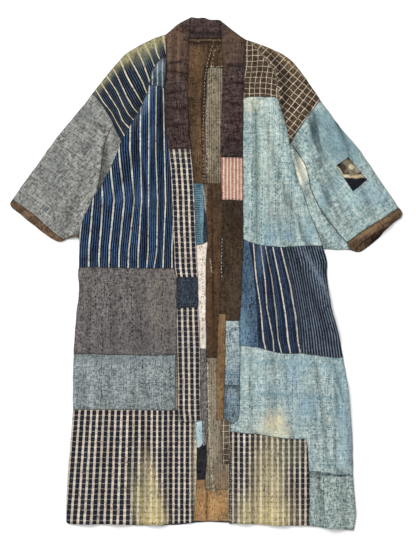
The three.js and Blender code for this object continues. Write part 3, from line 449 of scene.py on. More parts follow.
def beside(line, x, y):
    """Distance to a line of straight stretches, and on which side of it each point lies."""
    nearest = np.full(x.shape, 1e9)
    side = np.ones(x.shape)
    for (ax, ay), (bx, by) in zip(line, line[1:]):
        dx, dy = bx - ax, by - ay
        along = np.clip(((x - ax) * dx + (y - ay) * dy) / (dx * dx + dy * dy), 0, 1)
        away = np.hypot(x - ax - along * dx, y - ay - along * dy)
        closer = away < nearest
        nearest = np.where(closer, away, nearest)
        side = np.where(closer, np.sign(dx * (y - ay) - dy * (x - ax)), side)
    return nearest, side


def rumple(x, y, across, along, seed):
    """Soft value noise from -1 to 1, with cells of across by along."""
    table = np.random.default_rng(seed).uniform(-1, 1, (64, 64))
    u, v = x / across + 500.3, y / along + 500.7
    i, j = np.floor(u).astype(int), np.floor(v).astype(int)
    s, t = u - i, v - j
    s, t = s * s * (3 - 2 * s), t * t * (3 - 2 * t)

    def corner(di, dj):
        return table[(i + di) % 64, (j + dj) % 64]

    low = corner(0, 0) * (1 - s) + corner(1, 0) * s
    high = corner(0, 1) * (1 - s) + corner(1, 1) * s
    return low * (1 - t) + high * t


def hand_sewn(points):
    """Moves points a little, alike for every piece, so that no edge runs dead straight."""
    x, y = points.T
    shift = [rumple(x, y, 17, 17, seed) for seed in (3, 4)]
    return points + EDGE_WANDER * np.stack(shift, 1)


# ---- Upper sides of the layers ----
def swell(line, left, right, rise, x, y):
    """A soft ridge or trough along a line, where a point lies within its half width."""
    points = np.array(line, float)
    near = near_line(points, max(left, right), x, y)
    out = np.zeros(x.shape)
    if near.any():
        away, side = beside(line, x[near], y[near])
        share = np.clip(away / np.where(side > 0, right, left), 0, 1)
        out[near] = rise * (1 - share * share) ** 2
    return out


def folded_level(x, y):
    """Underside of the folded cloth: the main folds, the finer creases and a slight rumple."""
    level = np.full(x.shape, FRONT_LEVEL)
    for half, rise, line in FOLDS.values():
        level += swell(line, half, half, rise, x, y)
    for left, right, rise, line in CREASES:
        level += swell(line, left, right, rise, x, y)
    level += 0.7 * rumple(x, y, 23, 47, 11) + 0.2 * rumple(x, y, 9, 11, 12)
    over = (level - LOWEST_FOLD) / SOFT_STOP
    return LOWEST_FOLD + SOFT_STOP * np.logaddexp(0, over)


def hollows(level, x, y):
    """How far each point lies below the cloth around it: troughs above nought, ridges below."""
    here = level(x, y)
    total = 0
    for steps, depth in ((NEAR_STEPS, NEAR_DEPTH), (FAR_STEPS, FAR_DEPTH)):
        around = sum(level(x + dx, y + dy) for dx, dy in steps) / len(steps)
        total = total + (around - here) / depth
    return np.clip(total, -1, 1)


def from_rim(x, y):
    """Distance to the coat's outer edge, where that is short."""
    out = np.full(x.shape, 40.0)
    for line in rim_lines:
        near = near_line(line, RIM_REACH, x, y)
        if near.any():
            out[near] = np.minimum(out[near], beside(line, x[near], y[near])[0])
    return out


def front_top(x, y):
    """The fronts' upper side, brought down on a round where it nears the coat's outer edge."""
    top = folded_level(x, y) + FRONT_WALL
    drop = 1 - np.clip(from_rim(x, y) / RIM_ROUND, 0, 1)
    return RIM_TOP + (top - RIM_TOP) * np.sqrt(1 - drop * drop)


def lapped_top(fold_edge):
    """The same, for a front whose folded edge laps over its neighbour and rolls under."""
    def top(x, y):
        out = beside(fold_edge, x, y)[0]
        fade = np.clip((out - LAP_FLAT) / LAP_FADE, 0, 1)
        lift = LAP_LIFT * (1 - fade * fade * (3 - 2 * fade))
        rolled = 1 - np.clip(out / LAP_ROLL, 0, 1)
        return front_top(x, y) + lift - LAP_DROP * (1 - np.sqrt(1 - rolled * rolled))
    return top


rim_lines = [line_of(name) for name in RIMS]
right_edge = np.concatenate([line_of("rFoldTip"), line_of("rFoldUpper")[1:], line_of("rFold")[1:]])
right_lapped_top = lapped_top(right_edge)
left_lapped_top = lapped_top(line_of("lFold"))


def back_top(x, y):
    return np.full(x.shape, BACK_TOP)


def inside_top(x, y):
    return BACK_TOP + 1.6 + 0.5 * rumple(x, y, 9, 22, 21) + 0.25 * rumple(x, y, 5, 8, 22)


def seam_fold_top(x, y):
    """The back's centre seam, its allowance crumpled up in the opening."""
    return inside_top(x, y) + 1.8 + 1.2 * rumple(x, y, 6, 16, 23)


def band_top(x, y):
    return FRONT_LEVEL + BAND_WALL + 0.5 * rumple(x, y, 11, 26, 31) + 0.25 * rumple(x, y, 6, 9, 32)


def collar_top(x, y):
    """The collar's upper side, drawn into waves across it by its own stitching."""
    wave = np.abs(np.sin(np.pi * y / 31.0 + 1.1 * rumple(x, y, 26, 18, 42)))
    return FRONT_LEVEL + COLLAR_WALL - 1.9 + 1.9 * np.sqrt(wave) + 0.7 * rumple(x, y, 9, 20, 41)


def neck_top(x, y):
    """The collar behind the neck, with the crease where it turns over."""
    crease = beside([(-40, 581), (-10, 577), (15, 578), (38, 582)], x, y)[0] / 7.0
    return collar_top(x, y) - np.where(crease < 1, 3.0 * (1 - crease * crease), 0)


def piping_top(x, y):
    return FRONT_LEVEL + PATCH_WALL + 0.3 * rumple(x, y, 9, 9, 51)


def sleeve_patch_top(x, y):
    return front_top(x, y) + SEAM_GAP + PATCH_WALL


# ---- Cutting out: outlines and their meshes ----
def meets(point, run):
    """Whether a run of points starts or ends at a point."""
    return min(np.hypot(*(point - end)) for end in (run[0], run[-1])) < 1e-6


def outline_of(names):
    """Chains seams end to end into one closed outline, turning round those that run the other way."""
    runs = [hand_sewn(spread(line_of(name), FINE)) for name in names]
    forwards = len(runs) == 1 or meets(runs[0][-1], runs[1])
    points = list(runs[0] if forwards else runs[0][::-1])
    for run in runs[1:]:
        forwards = np.hypot(*(points[-1] - run[0])) < 1e-6
        points += list((run if forwards else run[::-1])[1:])
    return np.array(points[:-1])


def inset(points, gap):
    """Moves an outline inwards, anticlockwise, by gap."""
    x, y = points.T
    if np.sum(x * np.roll(y, -1) - np.roll(x, -1) * y) < 0:
        points = points[::-1]
    before = points - np.roll(points, 1, 0)
    after = np.roll(points, -1, 0) - points
    way = before / np.linalg.norm(before, axis=1, keepdims=True)
    way += after / np.linalg.norm(after, axis=1, keepdims=True)
    way /= np.maximum(np.linalg.norm(way, axis=1, keepdims=True), 0.3)
    return points + gap * np.stack([-way[:, 1], way[:, 0]], 1)


def from_edge(outline, x, y):
    return beside(np.vstack([outline, outline[:1]]), x, y)[0]


def within(outline, x, y):
    """Which points lie inside an outline."""
    inside = np.zeros(x.shape, bool)
    for (ax, ay), (bx, by) in zip(outline, np.roll(outline, -1, 0)):
        crosses = (ay > y) != (by > y)
        reach = ax + (y - ay) * (bx - ax) / (by - ay if by != ay else 1)
        inside ^= crosses & (x < reach)
    return inside


def triangulated(outline, step):
    """Points and triangles that fill an outline, over a staggered lattice."""
    low, high = outline.min(0), outline.max(0)
    rows = np.arange(np.floor(low[1] / step), np.ceil(high[1] / step) + 1)
    columns = np.arange(np.floor(low[0] / step) - 1, np.ceil(high[0] / step) + 1)
    x, y = np.meshgrid(columns * step, rows * step)
    x = (x + 0.5 * step * (rows % 2)[:, None]).ravel()
    y = y.ravel()
    keep = within(outline, x, y)
    x, y = x[keep], y[keep]
    keep = from_edge(outline, x, y) > 0.55 * step
    points = [Vector(p) for p in outline] + [Vector(p) for p in zip(x[keep], y[keep])]
    count = len(outline)
    edges = [(i, (i + 1) % count) for i in range(count)]
    found = delaunay_2d_cdt(points, edges, [], 1, 1e-4)
    points, triangles = (np.array([tuple(row) for row in found[k]]) for k in (0, 2))
    a, b, c = points[triangles].transpose(1, 0, 2)
    clockwise = (b - a)[:, 0] * (c - a)[:, 1] - (b - a)[:, 1] * (c - a)[:, 0] < 0
    triangles[clockwise] = triangles[clockwise][:, ::-1]
    return points, triangles


def new_piece(name, vertices, faces, material):
    mesh = bpy.data.meshes.new(name)
    mesh.from_pydata(vertices, [], faces)
    mesh.polygons.foreach_set("use_smooth", [True] * len(mesh.polygons))
    mesh.materials.append(material)
    piece = bpy.data.objects.new(name, mesh)
    bpy.context.scene.collection.objects.link(piece)
    return piece


def closed_wall(name, points, triangles, upper, lower, material):
    """A piece between two heights at each point, its border closed."""
    count = len(points)
    pairs = np.concatenate([triangles[:, [0, 1]], triangles[:, [1, 2]], triangles[:, [2, 0]]])
    known = set(map(tuple, pairs))
    border = sorted((i, j) for i, j in known if (j, i) not in known)
    faces = triangles.tolist()
    faces += (triangles[:, ::-1] + count).tolist()
    faces += [(i, i + count, j + count, j) for i, j in border]
    vertices = np.concatenate([np.column_stack([points, height]) for height in (upper, lower)]) * MM
    piece = new_piece(name, vertices.tolist(), faces, material)
    piece.data.set_sharp_from_angle(angle=SHARP_FOLD)
    return piece


def mark(mesh, name, kind, values):
    """Stores an attribute, alike on both sides of a sheet."""
    attribute = mesh.attributes.new(name, kind, "POINT")
    field = "color" if kind == "FLOAT_COLOR" else "value"
    attribute.data.foreach_set(field, np.concatenate([values, values]).ravel())


def mark_grain(mesh, across, along):
    """Stores each point's place across and along the grain as a UV map."""
    places = np.tile(np.stack([across, along], 1) * MM, (2, 1))
    corner_vertex = np.zeros(len(mesh.loops), np.int32)
    mesh.loops.foreach_get("vertex_index", corner_vertex)
    mesh.uv_layers.new(name="grain").uv.foreach_set("vector", places[corner_vertex].ravel())


# ---- Colours, stains and painted shade ----
def linear(code):
    """A colour written as six hex digits, as linear light."""
    parts = np.array([int(code[i:i + 2], 16) for i in (0, 2, 4)]) / 255.0
    return np.where(parts <= 0.04045, parts / 12.92, ((parts + 0.055) / 1.055) ** 2.4)


def colour(code):
    return (*linear(code), 1.0)


def stains_and_painted_shade(paint, x, y):
    """Fades, stains, painted shadows and painted highlights laid one over another: each is x, y, its half
    sizes, tilt, colour and strength.

    One more number, above 1.3, makes a mark's edge sharper.
    """
    shade = np.zeros((len(x), 3)) + 0.5
    cover = np.zeros(len(x))
    ragged_x, ragged_y = 5.0 * rumple(x, y, 9, 30, 71), 12.0 * rumple(x, y, 6, 26, 72)
    for cx, cy, wide, high, tilt, code, strength, *edge in paint:
        turn = math.radians(tilt)
        ragged = min(1.0, min(wide, high) / 30.0)
        dx, dy = x - cx + ragged * ragged_x, y - cy + ragged * ragged_y
        u = (dx * math.cos(turn) + dy * math.sin(turn)) / wide
        v = (-dx * math.sin(turn) + dy * math.cos(turn)) / high
        here = strength * np.exp(-(u * u + v * v) ** (edge[0] if edge else 1.3))
        total = here + cover * (1 - here)
        share = np.where(total > 1e-4, here / np.maximum(total, 1e-4), 0)
        shade += (linear(code) - shade) * share[:, None]
        cover = total
    return np.concatenate([shade, cover[:, None]], 1)


# ---- Cloth: woven, dyed, worn, stained, and painted with fold and seam shade in nodes ----
class Weave:
    """Nodes of one cloth, in millimetres along and across its own grain."""

    def __init__(self):
        self.material = bpy.data.materials.new("cloth")
        self.material.use_nodes = True
        self.tree = self.material.node_tree
        self.tree.nodes.clear()
        grain = self.add("ShaderNodeUVMap", uv_map="grain")
        scaled = self.add("ShaderNodeVectorMath", operation="SCALE")
        self.join(grain.outputs[0], scaled.inputs[0])
        scaled.inputs["Scale"].default_value = 1 / MM
        split = self.add("ShaderNodeSeparateXYZ")
        self.join(scaled.outputs[0], split.inputs[0])
        self.across, self.along = split.outputs[0], split.outputs[1]
        self.warp_float = self.floats(self.across, self.along, FLOAT, 1)
        self.weft_float = self.floats(self.along, self.across, FLOAT, 2)

    def add(self, kind, **settings):
        node = self.tree.nodes.new(kind)
        for key, value in settings.items():
            setattr(node, key, value)
        return node

    def join(self, value, socket):
        """Links an output to a socket, or sets the socket to a number or colour."""
        if isinstance(value, bpy.types.NodeSocket):
            self.tree.links.new(value, socket)
        else:
            socket.default_value = value

    def reckon(self, operation, a, b=0.0, c=0.0):
        node = self.add("ShaderNodeMath", operation=operation)
        for value, socket in zip((a, b, c), node.inputs):
            self.join(value, socket)
        return node.outputs[0]

    def times(self, a, b):
        return self.reckon("MULTIPLY", a, b)

    def mix(self, a, b, share):
        """Share of a and the rest of b."""
        return self.reckon("MULTIPLY_ADD", a, share, self.times(b, 1.0 - share))

    def rescale(self, value, low, high, to_low=0.0, to_high=1.0, kind="SMOOTHSTEP"):
        node = self.add("ShaderNodeMapRange", interpolation_type=kind)
        for number, socket in zip((value, low, high, to_low, to_high), node.inputs):
            self.join(number, socket)
        return node.outputs[0]

    def stored(self, name):
        return self.add("ShaderNodeAttribute", attribute_name=name)

    def noise(self, wide, long, seed, detail=2.0):
        """Noise whose grains are wide across the cloth and long along it."""
        place = self.add("ShaderNodeCombineXYZ")
        self.join(self.reckon("DIVIDE", self.across, wide), place.inputs[0])
        self.join(self.reckon("DIVIDE", self.along, long), place.inputs[1])
        place.inputs[2].default_value = seed * 3.7
        node = self.add("ShaderNodeTexNoise")
        self.join(place.outputs[0], node.inputs["Vector"])
        node.inputs["Scale"].default_value = 1.0
        node.inputs["Detail"].default_value = detail
        return node.outputs[0]

    def floats(self, across, along, size, seed):
        """One random shade for each float of thread, its columns set off against one another."""
        column = self.reckon("FLOOR", self.reckon("DIVIDE", across, size[0]))
        chance = self.add("ShaderNodeTexWhiteNoise", noise_dimensions="1D")
        self.join(self.reckon("ADD", column, seed * 13.1), chance.inputs["W"])
        run = self.reckon("DIVIDE", along, size[1])
        row = self.reckon("FLOOR", self.reckon("MULTIPLY_ADD", chance.outputs["Value"], 7.0, run))
        place = self.add("ShaderNodeCombineXYZ")
        self.join(column, place.inputs[0])
        self.join(row, place.inputs[1])
        place.inputs[2].default_value = seed * 2.3
        shade = self.add("ShaderNodeTexWhiteNoise", noise_dimensions="3D")
        self.join(place.outputs[0], shade.inputs["Vector"])
        return shade.outputs["Value"]

    def lines(self, coordinate, pitch, centre, width, wobble, seed):
        """One along every line that repeats at pitch, nought between; its place wanders by wobble."""
        soft = 0.35
        drift = self.reckon("SUBTRACT", self.noise(9, 30, seed), 0.5)
        coordinate = self.reckon("MULTIPLY_ADD", drift, 2 * wobble, coordinate)
        turns = self.reckon("SUBTRACT", self.reckon("DIVIDE", coordinate, pitch), centre - 0.5)
        away = self.reckon("ABSOLUTE", self.reckon("SUBTRACT", self.reckon("FRACT", turns), 0.5))
        return self.rescale(away, (width / 2 + soft) / pitch, max(width / 2 - soft, 0) / pitch)

    def blend(self, share, under, over, kind="MIX"):
        node = self.add("ShaderNodeMix", data_type="RGBA", blend_type=kind)
        self.join(share, node.inputs[0])
        self.join(under, node.inputs[6])
        self.join(over, node.inputs[7])
        return node.outputs[2]

    def light_threads(self, slubs, crisp, speck):
        """Share of the lighter thread: slubs both ways, broken up by single floats."""
        half = 0.05 / crisp
        share = self.rescale(slubs, 0.5 - half, 0.5 + half)
        single = self.mix(self.warp_float, self.weft_float, 0.5)
        single = self.rescale(single, 0.18, 0.82, 0.0, 1.0, "LINEAR")
        return self.mix(single, share, speck)

    def rubbed(self, shade, code, reach, strength, size=1.0):
        """Wear that shows another colour: how far it spreads, how strongly, and its scale."""
        share = self.noise(14 * size, 26 * size, 8, 2.0)
        share = self.rescale(share, 0.62 - reach * 0.3, 0.78 - reach * 0.1)
        share = self.times(share, self.rescale(self.warp_float, 0.2, 0.8, 0.35, 1.0))
        return self.blend(self.times(share, strength), shade, colour(code))

    def patchy(self, cover):
        """Breaks up the cover of stains and painted shade thread by thread, as cloth takes up a stain."""
        blots = self.rescale(self.noise(4, 9, 10, 3.0), 0.35, 0.6, 0.62, 1.0)
        taken = self.rescale(self.weft_float, 0.1, 0.9, 0.75, 1.0)
        return self.times(self.times(cover, blots), taken)

    def woven_lines(self, shade, marks, drift):
        for number, (way, pitch, centre, width, code, strength) in enumerate(marks):
            up = way == "warp"
            line = self.lines(self.across if up else self.along, pitch, centre, width, drift, 5 + number)
            crossing = self.weft_float if up else self.warp_float
            line = self.times(line, self.rescale(crossing, 0.0, 0.5, 0.68, 1.0))
            shade = self.blend(self.times(line, strength), shade, colour(code))
        return shade

    def shaded(self, shade, pucker_relief_and_shade, mottle, dashes):
        """Darkens and lightens a colour by mottled dye, gaps between threads, painted shade and light of
        puckers, and painted shade in fold troughs and painted light on fold crests.
        """
        uneven = self.rescale(self.noise(26, 40, 9, 2.0), 0.3, 0.7, 1 - mottle, 1 + mottle, "LINEAR")
        knots = self.floats(self.across, self.along, KNOT, 5)
        painted_fold_shade = self.stored("painted_fold_shade").outputs["Fac"]
        for factor in (pucker_relief_and_shade, self.rescale(knots, 0.92, 0.94, 1.0, dashes),
                       self.rescale(painted_fold_shade, 0.0, 1.0, 1.0, TROUGH_SHADE, "LINEAR"),
                       self.rescale(painted_fold_shade, 0.0, -1.0, 1.0, RIDGE_SHADE, "LINEAR")):
            uneven = self.times(uneven, factor)
        grey = self.add("ShaderNodeCombineXYZ")
        for socket in grey.inputs:
            self.join(uneven, socket)
        return self.blend(1.0, shade, grey.outputs[0], "MULTIPLY")

    def bumped(self, slubs, pucker_relief_and_shade):
        """Relief of the ribs, the slubs and the puckers."""
        ribs, picks = (self.reckon("SINE", self.times(way, 2 * math.pi / RIB))
                       for way in (self.across, self.along))
        height = self.reckon("MULTIPLY_ADD", self.times(ribs, picks), 0.12, slubs)
        height = self.reckon("MULTIPLY_ADD", pucker_relief_and_shade, 1.4, height)
        bump = self.add("ShaderNodeBump")
        bump.inputs["Strength"].default_value = 0.8
        bump.inputs["Distance"].default_value = 0.0011
        self.join(height, bump.inputs["Height"])
        return bump.outputs[0]

    def finished(self, shade, relief):
        """Dull cotton of one colour and relief."""
        shader = self.add("ShaderNodeBsdfPrincipled")
        self.join(shade, shader.inputs["Base Color"])
        self.join(relief, shader.inputs["Normal"])
        shader.inputs["Roughness"].default_value = 0.93
        shader.inputs["Specular IOR Level"].default_value = 0.1
        shader.inputs["Sheen Weight"].default_value = 0.03
        shader.inputs["Sheen Roughness"].default_value = 0.5
        out = self.add("ShaderNodeOutputMaterial")
        self.join(shader.outputs[0], out.inputs[0])
        return self.material


def cloth(dark, light, slub=(2.0, 20, 2.0, 20), crisp=0.5, marks=(), worn=None, mottle=0.2,
          speck=0.6, drift=0.8, dashes=0.5, even=False):
    """A woven cloth: slubbed threads both ways, woven lines, mottled dye, wear, stains, painted shade and
    light of folds and puckers, and seams darkened by dirt and painted shade.

    slub gives the width and length of the streaks of the warp and of the weft; marks are the woven
    lines, each (way, pitch, centre, width, colour, strength); worn is a colour, how far it spreads,
    its strength and its scale; speck is how much single floats of thread differ, drift how far a
    woven line wanders, and dashes how bright the gaps between threads stay; the stains and painted
    shade of an even cloth are printed solid.
    """
    weave = Weave()
    warp = weave.noise(slub[0], slub[1], 1, 1.0)
    weft = weave.noise(slub[3], slub[2], 2, 1.0)
    slubs = weave.mix(warp, weft, 0.5)
    shade = weave.blend(weave.light_threads(slubs, crisp, speck), colour(dark), colour(light))
    if worn:
        shade = weave.rubbed(shade, *worn)
    # stains and painted shadows and highlights, broken up thread by thread unless the cloth is even
    stain_and_painted_shade = weave.stored("stain_and_painted_shade")
    cover = stain_and_painted_shade.outputs["Alpha"] if even else weave.patchy(stain_and_painted_shade.outputs["Alpha"])
    shade = weave.blend(cover, shade, stain_and_painted_shade.outputs["Color"])
    shade = weave.woven_lines(shade, marks, drift)
    shade = weave.blend(weave.times(cover, 0.4), shade, stain_and_painted_shade.outputs["Color"])
    # pucker noise: relief in the bump, and painted shade and light in the colour
    pucker_relief_and_shade = weave.rescale(weave.noise(3.6, 6, 12, 1.0), 0.32, 0.68, 0.92, 1.08, "LINEAR")
    shade = weave.shaded(shade, pucker_relief_and_shade, mottle, dashes)
    # darker near each piece's own edge: seam dirt and painted seam shade
    seam = weave.rescale(weave.stored("hem").outputs["Fac"], 0.0, 0.10, 0.62, 0.0)
    return weave.finished(weave.blend(seam, shade, SEAM_DIRT_AND_SHADE), weave.bumped(slubs, pucker_relief_and_shade))


def thread_material(name, dark, light):
    """Cotton thread, a little uneven in its dye."""
    material = bpy.data.materials.new(name)
    material.use_nodes = True
    nodes, links = material.node_tree.nodes, material.node_tree.links
    place = nodes.new("ShaderNodeTexCoord")
    dye = nodes.new("ShaderNodeTexNoise")
    dye.inputs["Scale"].default_value = 160.0
    links.new(place.outputs["Object"], dye.inputs["Vector"])
    mix = nodes.new("ShaderNodeMix")
    mix.data_type = "RGBA"
    mix.inputs[6].default_value, mix.inputs[7].default_value = colour(dark), colour(light)
    links.new(dye.outputs[0], mix.inputs[0])
    shader = nodes["Principled BSDF"]
    links.new(mix.outputs[2], shader.inputs["Base Color"])
    shader.inputs["Roughness"].default_value = 0.9
    shader.inputs["Specular IOR Level"].default_value = 0.2
    return material


def striped(dark, light, cream, fine, worn, width):
    """Three fine stripes to each cream one."""
    marks = [("warp", STRIPE, place, 1.5, fine, 0.8) for place in (0.28, 0.5, 0.72)]
    marks += [("warp", STRIPE, 0.0, width, cream, 0.95)]
    return cloth(dark, light, (2.0, 24, 2.0, 10), 0.5, marks, worn, 0.2)


def navy_check():
    marks = [
        ("weft", CHECK_LONG, 0.0, 2.2, "8f8a80", 0.7),
        ("warp", CHECK, 0.0, 5.0, "d3c4b3", 1.0),
        ("weft", CHECK_LONG, 0.5, 5.0, "2c2c2e", 0.30),
    ]
    return cloth("0a0f19", "1f2839", (2.0, 22, 2.0, 12), 0.5, marks, ("6f7266", 0.1, 0.2), 0.12)


def brown_check():
    marks = [
        ("warp", BROWN_CHECK, 0.0, 1.3, "e0d5be", 0.78),
        ("weft", BROWN_CHECK, 0.0, 1.3, "d8ccb4", 0.7),
    ]
    worn = ("7d6850", 0.2, 0.3)
    return cloth("281d17", "5c4a3a", (2.0, 16, 2.0, 16), 0.5, marks, worn, 0.22, drift=2.2)


# Each cloth by its material slot: dark and light thread, then what cloth() or striped() takes
CLOTHS = {
    "indigo_stripe_shoulder": striped("04070d", "101824", "c3bba6", "506074", ("4c5a66", 0.1, 0.15), 3.6),
    "pale_indigo_stripe": cloth(
        "121e2c", "3b5264", (2.0, 18, 2.0, 18), 0.4, [("warp", 12.0, 0.3, 2.8, "b4b5a9", 0.7)],
        ("8fa3ad", 0.15, 0.3)),
    "indigo_stripe": striped("040811", "0f1b32", "c0c0b8", "4f6d94", ("2a3d5c", 0.2, 0.25, 2.5), 3.8),
    "grey_slub": cloth(
        "2f3334", "a6a6a0", (2.4, 60, 2.4, 60), 0.2, (), ("6a6c6a", 0.1, 0.25), 0.05, speck=0.58,
        dashes=0.65),
    "rust_cotton": cloth(
        "33251b", "745d48", (2.0, 14, 2.0, 14), 0.4, (), ("9c8562", 0.1, 0.3), 0.2, even=True),
    "slate_cotton": cloth(
        "333235", "817c78", (2.2, 26, 2.0, 20), 0.3, (), ("86796c", 0.25, 0.3, 2.5), 0.08, speck=0.7),
    "grey_blue_slub": cloth(
        "37444c", "a8b0ae", (2.4, 60, 2.2, 14), 0.22, (), ("66747c", 0.1, 0.25), 0.06, speck=0.6,
        dashes=0.65),
    "navy_check": navy_check(),
    "navy_patch": cloth("151c28", "404852", (2.0, 10, 2.0, 10), 0.5, (), ("5a6a7c", 0.15, 0.3), 0.15),
    "collar_brown": cloth("120d0c", "594845", (2.4, 16, 2.6, 22), 0.4, (), ("7b6a62", 0.12, 0.3), 0.16),
    "tan_cotton": cloth("664e36", "b28f66", (2.0, 14, 2.0, 14), 0.35, (), ("55402b", 0.15, 0.4), 0.2),
    "brown_check": brown_check(),
    "pale_blue_slub": cloth(
        "4d7078", "c6d2c9", (2.4, 60, 2.4, 60), 0.2, (), ("86a9b5", 0.35, 0.4, 4.0), 0.09, speck=0.6,
        dashes=0.7),
    "mid_blue": cloth("1c3044", "60788c", (2.0, 18, 2.0, 8), 0.4, (), ("7f98a6", 0.15, 0.3), 0.15),
    "navy_stripe": cloth(
        "0d1422", "253249", (2.0, 24, 2.0, 10), 0.5, [("warp", STRIPE, 0.5, 2.0, "45576f", 0.6),
        ("warp", STRIPE, 0.25, 1.8, "45576f", 0.4), ("warp", STRIPE, 0.0, 3.6, "cfc9bc", 0.95)],
        ("4c5f80", 0.2, 0.3), 0.15),
    "fine_stripe": cloth(
        "0c111a", "232b39", (2.0, 24, 2.0, 10), 0.5, [("warp", FINE_STRIPE, 0.0, 2.4, "74818f", 0.85)],
        ("6a7688", 0.1, 0.3), 0.15),
    "washed_teal": cloth(
        "4c6f7c", "c8d3cb", (2.4, 60, 2.4, 60), 0.2, (), ("86a6b3", 0.35, 0.4, 4.0), 0.09, speck=0.6,
        dashes=0.7),
    "sage_blue": cloth(
        "4c6166", "bcc8c0", (2.0, 20, 2.0, 20), 0.3, (), ("8fa9ac", 0.3, 0.4, 3.0), 0.1, speck=0.7),
    "pink_stripe": cloth(
        "91635a", "b98a7e", (2.0, 16, 2.0, 10), 0.3, [("warp", 8.4, 0.0, 2.8, "e2d5bc", 0.8)], None, 0.06,
        speck=0.5, dashes=0.85),
    "dark_umber": cloth("1f1812", "4a3c2e", (2.0, 16, 2.0, 16), 0.5, (), ("6a5944", 0.15, 0.35), 0.2),
    "pale_blue_patch": cloth("486371", "b4c0be", (2.0, 14, 2.0, 22), 0.5, (), ("b9c3bd", 0.2, 0.4), 0.12),
    "stitched_blue": cloth("3a4c58", "8c9ca0", (2.0, 12, 2.0, 16), 0.5, (), ("93a1a4", 0.15, 0.4), 0.15),
    "pieced_patch": cloth(
        "101016", "23232c", (2.0, 8, 2.0, 8), 0.5, [("warp", PATCH_CHECK, 0.0, 1.5, "15151c", 0.55),
        ("weft", PATCH_CHECK, 0.0, 1.5, "15151c", 0.55)], None, 0.08, drift=0.2, dashes=0.9, even=True),
    "inner_brown": cloth("241a12", "5f4a37", (2.0, 22, 2.0, 12), 0.5, (), ("7b6244", 0.15, 0.4), 0.25),
    "olive_grey": cloth(
        "3b3227", "867a67", (2.0, 30, 2.0, 10), 0.5, [("warp", 5.4, 0.0, 1.8, "a89e88", 0.5)],
        ("54493a", 0.2, 0.4), 0.2),
    "blue_patch": cloth(
        "112c3c", "496d7e", (2.0, 10, 2.0, 26), 0.5, [("weft", 5.4, 0.0, 1.8, "86a0a8", 0.5)],
        ("27506b", 0.15, 0.35), 0.15),
    "cream_cotton": cloth("c5b5a6", "f2e8dc", (2.0, 14, 2.0, 14), 0.45, (), ("b8a796", 0.1, 0.4), 0.08),
    "ice_blue": cloth("8fabb6", "c3d3d6", (1.6, 12, 1.6, 12), 0.45, (), None, 0.08),
    "ink_black": cloth("0f0f12", "333237", (2.0, 12, 2.0, 12), 0.5, (), ("55524f", 0.15, 0.4), 0.15),
    "back_cloth": cloth("232a35", "3c4552", (1.8, 20, 1.8, 20), 0.5, (), ("5a6069", 0.25, 0.4), 0.15),
}
for cloth_name, woven in CLOTHS.items():
    woven.name = cloth_name

DARK_THREAD = thread_material("dark_thread", "121318", "26272c")
SLATE_THREAD = thread_material("slate_thread", "2a3c48", "465a68")
PALE_THREAD = thread_material("pale_thread", "b5aa92", "e6decb")
BROWN_THREAD = thread_material("brown_thread", "5e452c", "8a6c45")
BLUE_THREAD = thread_material("blue_thread", "7fa2b8", "b3c8d0")


# ---- Grain: where each point lies across and along the threads ----
def straight(x, y):
    return x, y


def turned(degrees, scale=1.0, shift=0.0):
    """Grain turned anticlockwise, drawn larger or smaller, and moved across."""
    cos, sin = math.cos(math.radians(degrees)), math.sin(math.radians(degrees))

    def grain(x, y):
        return scale * (x * cos + y * sin) + shift, scale * (y * cos - x * sin)
    return grain


def lengthened(points):
    """A line's points from the hem upwards, run on straight past both ends."""
    points = np.array(sorted(points, key=lambda p: p[1]), float)
    ends = [2 * points[i] - points[j] for i, j in ((0, 1), (-1, -2))]
    ends = [b + (a - b) * 40 for a, b in zip(ends, (points[0], points[-1]))]
    return np.vstack([ends[0], points, ends[1]])


def fan(*lines):
    """Grain that follows given warp lines: each has its place across the cloth and its points."""
    places = np.array([place for place, _ in lines], float)
    lines = [lengthened(points) for _, points in lines]

    def grain(x, y):
        spots = np.array([np.interp(y, line[:, 1], line[:, 0]) for line in lines])
        gap = np.clip((spots < x).sum(0) - 1, 0, len(lines) - 2)
        at = np.arange(len(x))
        left, right = spots[gap, at], spots[gap + 1, at]
        share = (x - left) / np.maximum(right - left, 1.0)
        return places[gap] + share * (places[gap + 1] - places[gap]), y
    return grain


def along_band(outer, inner, width):
    """Grain of a band that runs between two edges."""
    edges = [[tuple(point) for name in names for point in SEAMS[name]] for names in (outer, inner)]
    return fan((0.0, edges[0]), (width, edges[1]))


def every(pitch, lines):
    return [(pitch * k, line) for k, line in enumerate(lines)]


# Cream stripes of the right front: where each crosses these heights
FRONT_HEIGHTS = (441, 297, 177, 57, 19)
FRONT_STRIPES = [list(zip(crossings, FRONT_HEIGHTS)) for crossings in (
    (-295, -278, -270, -281, -282), (-266, -257, -247, -256, -257),
    (-242, -233, -220, -232, -233), (-211, -209, -196, -208, -209),
    (-180, -182, -172, -185, -187), (-156, -157, -154, -162, -163),
    (-136, -137, -138, -139, -142), (-119, -121, -116, -118, -124),
    (-103, -100, -97, -102, -103), (-84, -80, -77, -82, -82))]
SHOULDER_STRIPES = [
    [(-276, 431), (-259, 403), (-240, 374), (-226, 345), (-211, 321)],
    [(-264, 441), (-247, 412), (-226, 386), (-211, 357), (-197, 333)],
    [(-250, 455), (-230, 424), (-211, 395), (-202, 369), (-185, 350)],
    [(-236, 472), (-214, 439), (-199, 405), (-187, 383), (-173, 369)],
    [(-223, 494), (-211, 470), (-190, 424), (-175, 398), (-161, 383)],
    [(-204, 508), (-192, 477), (-175, 446), (-154, 412)],
    [(-190, 530), (-170, 494), (-151, 458), (-142, 434)],
    [(-168, 544), (-151, 506), (-139, 472), (-134, 455)],
    [(-149, 556), (-132, 520), (-118, 484)],
    [(-125, 566), (-118, 530), (-103, 499)],
    [(-103, 571), (-96, 530), (-84, 499)],
]
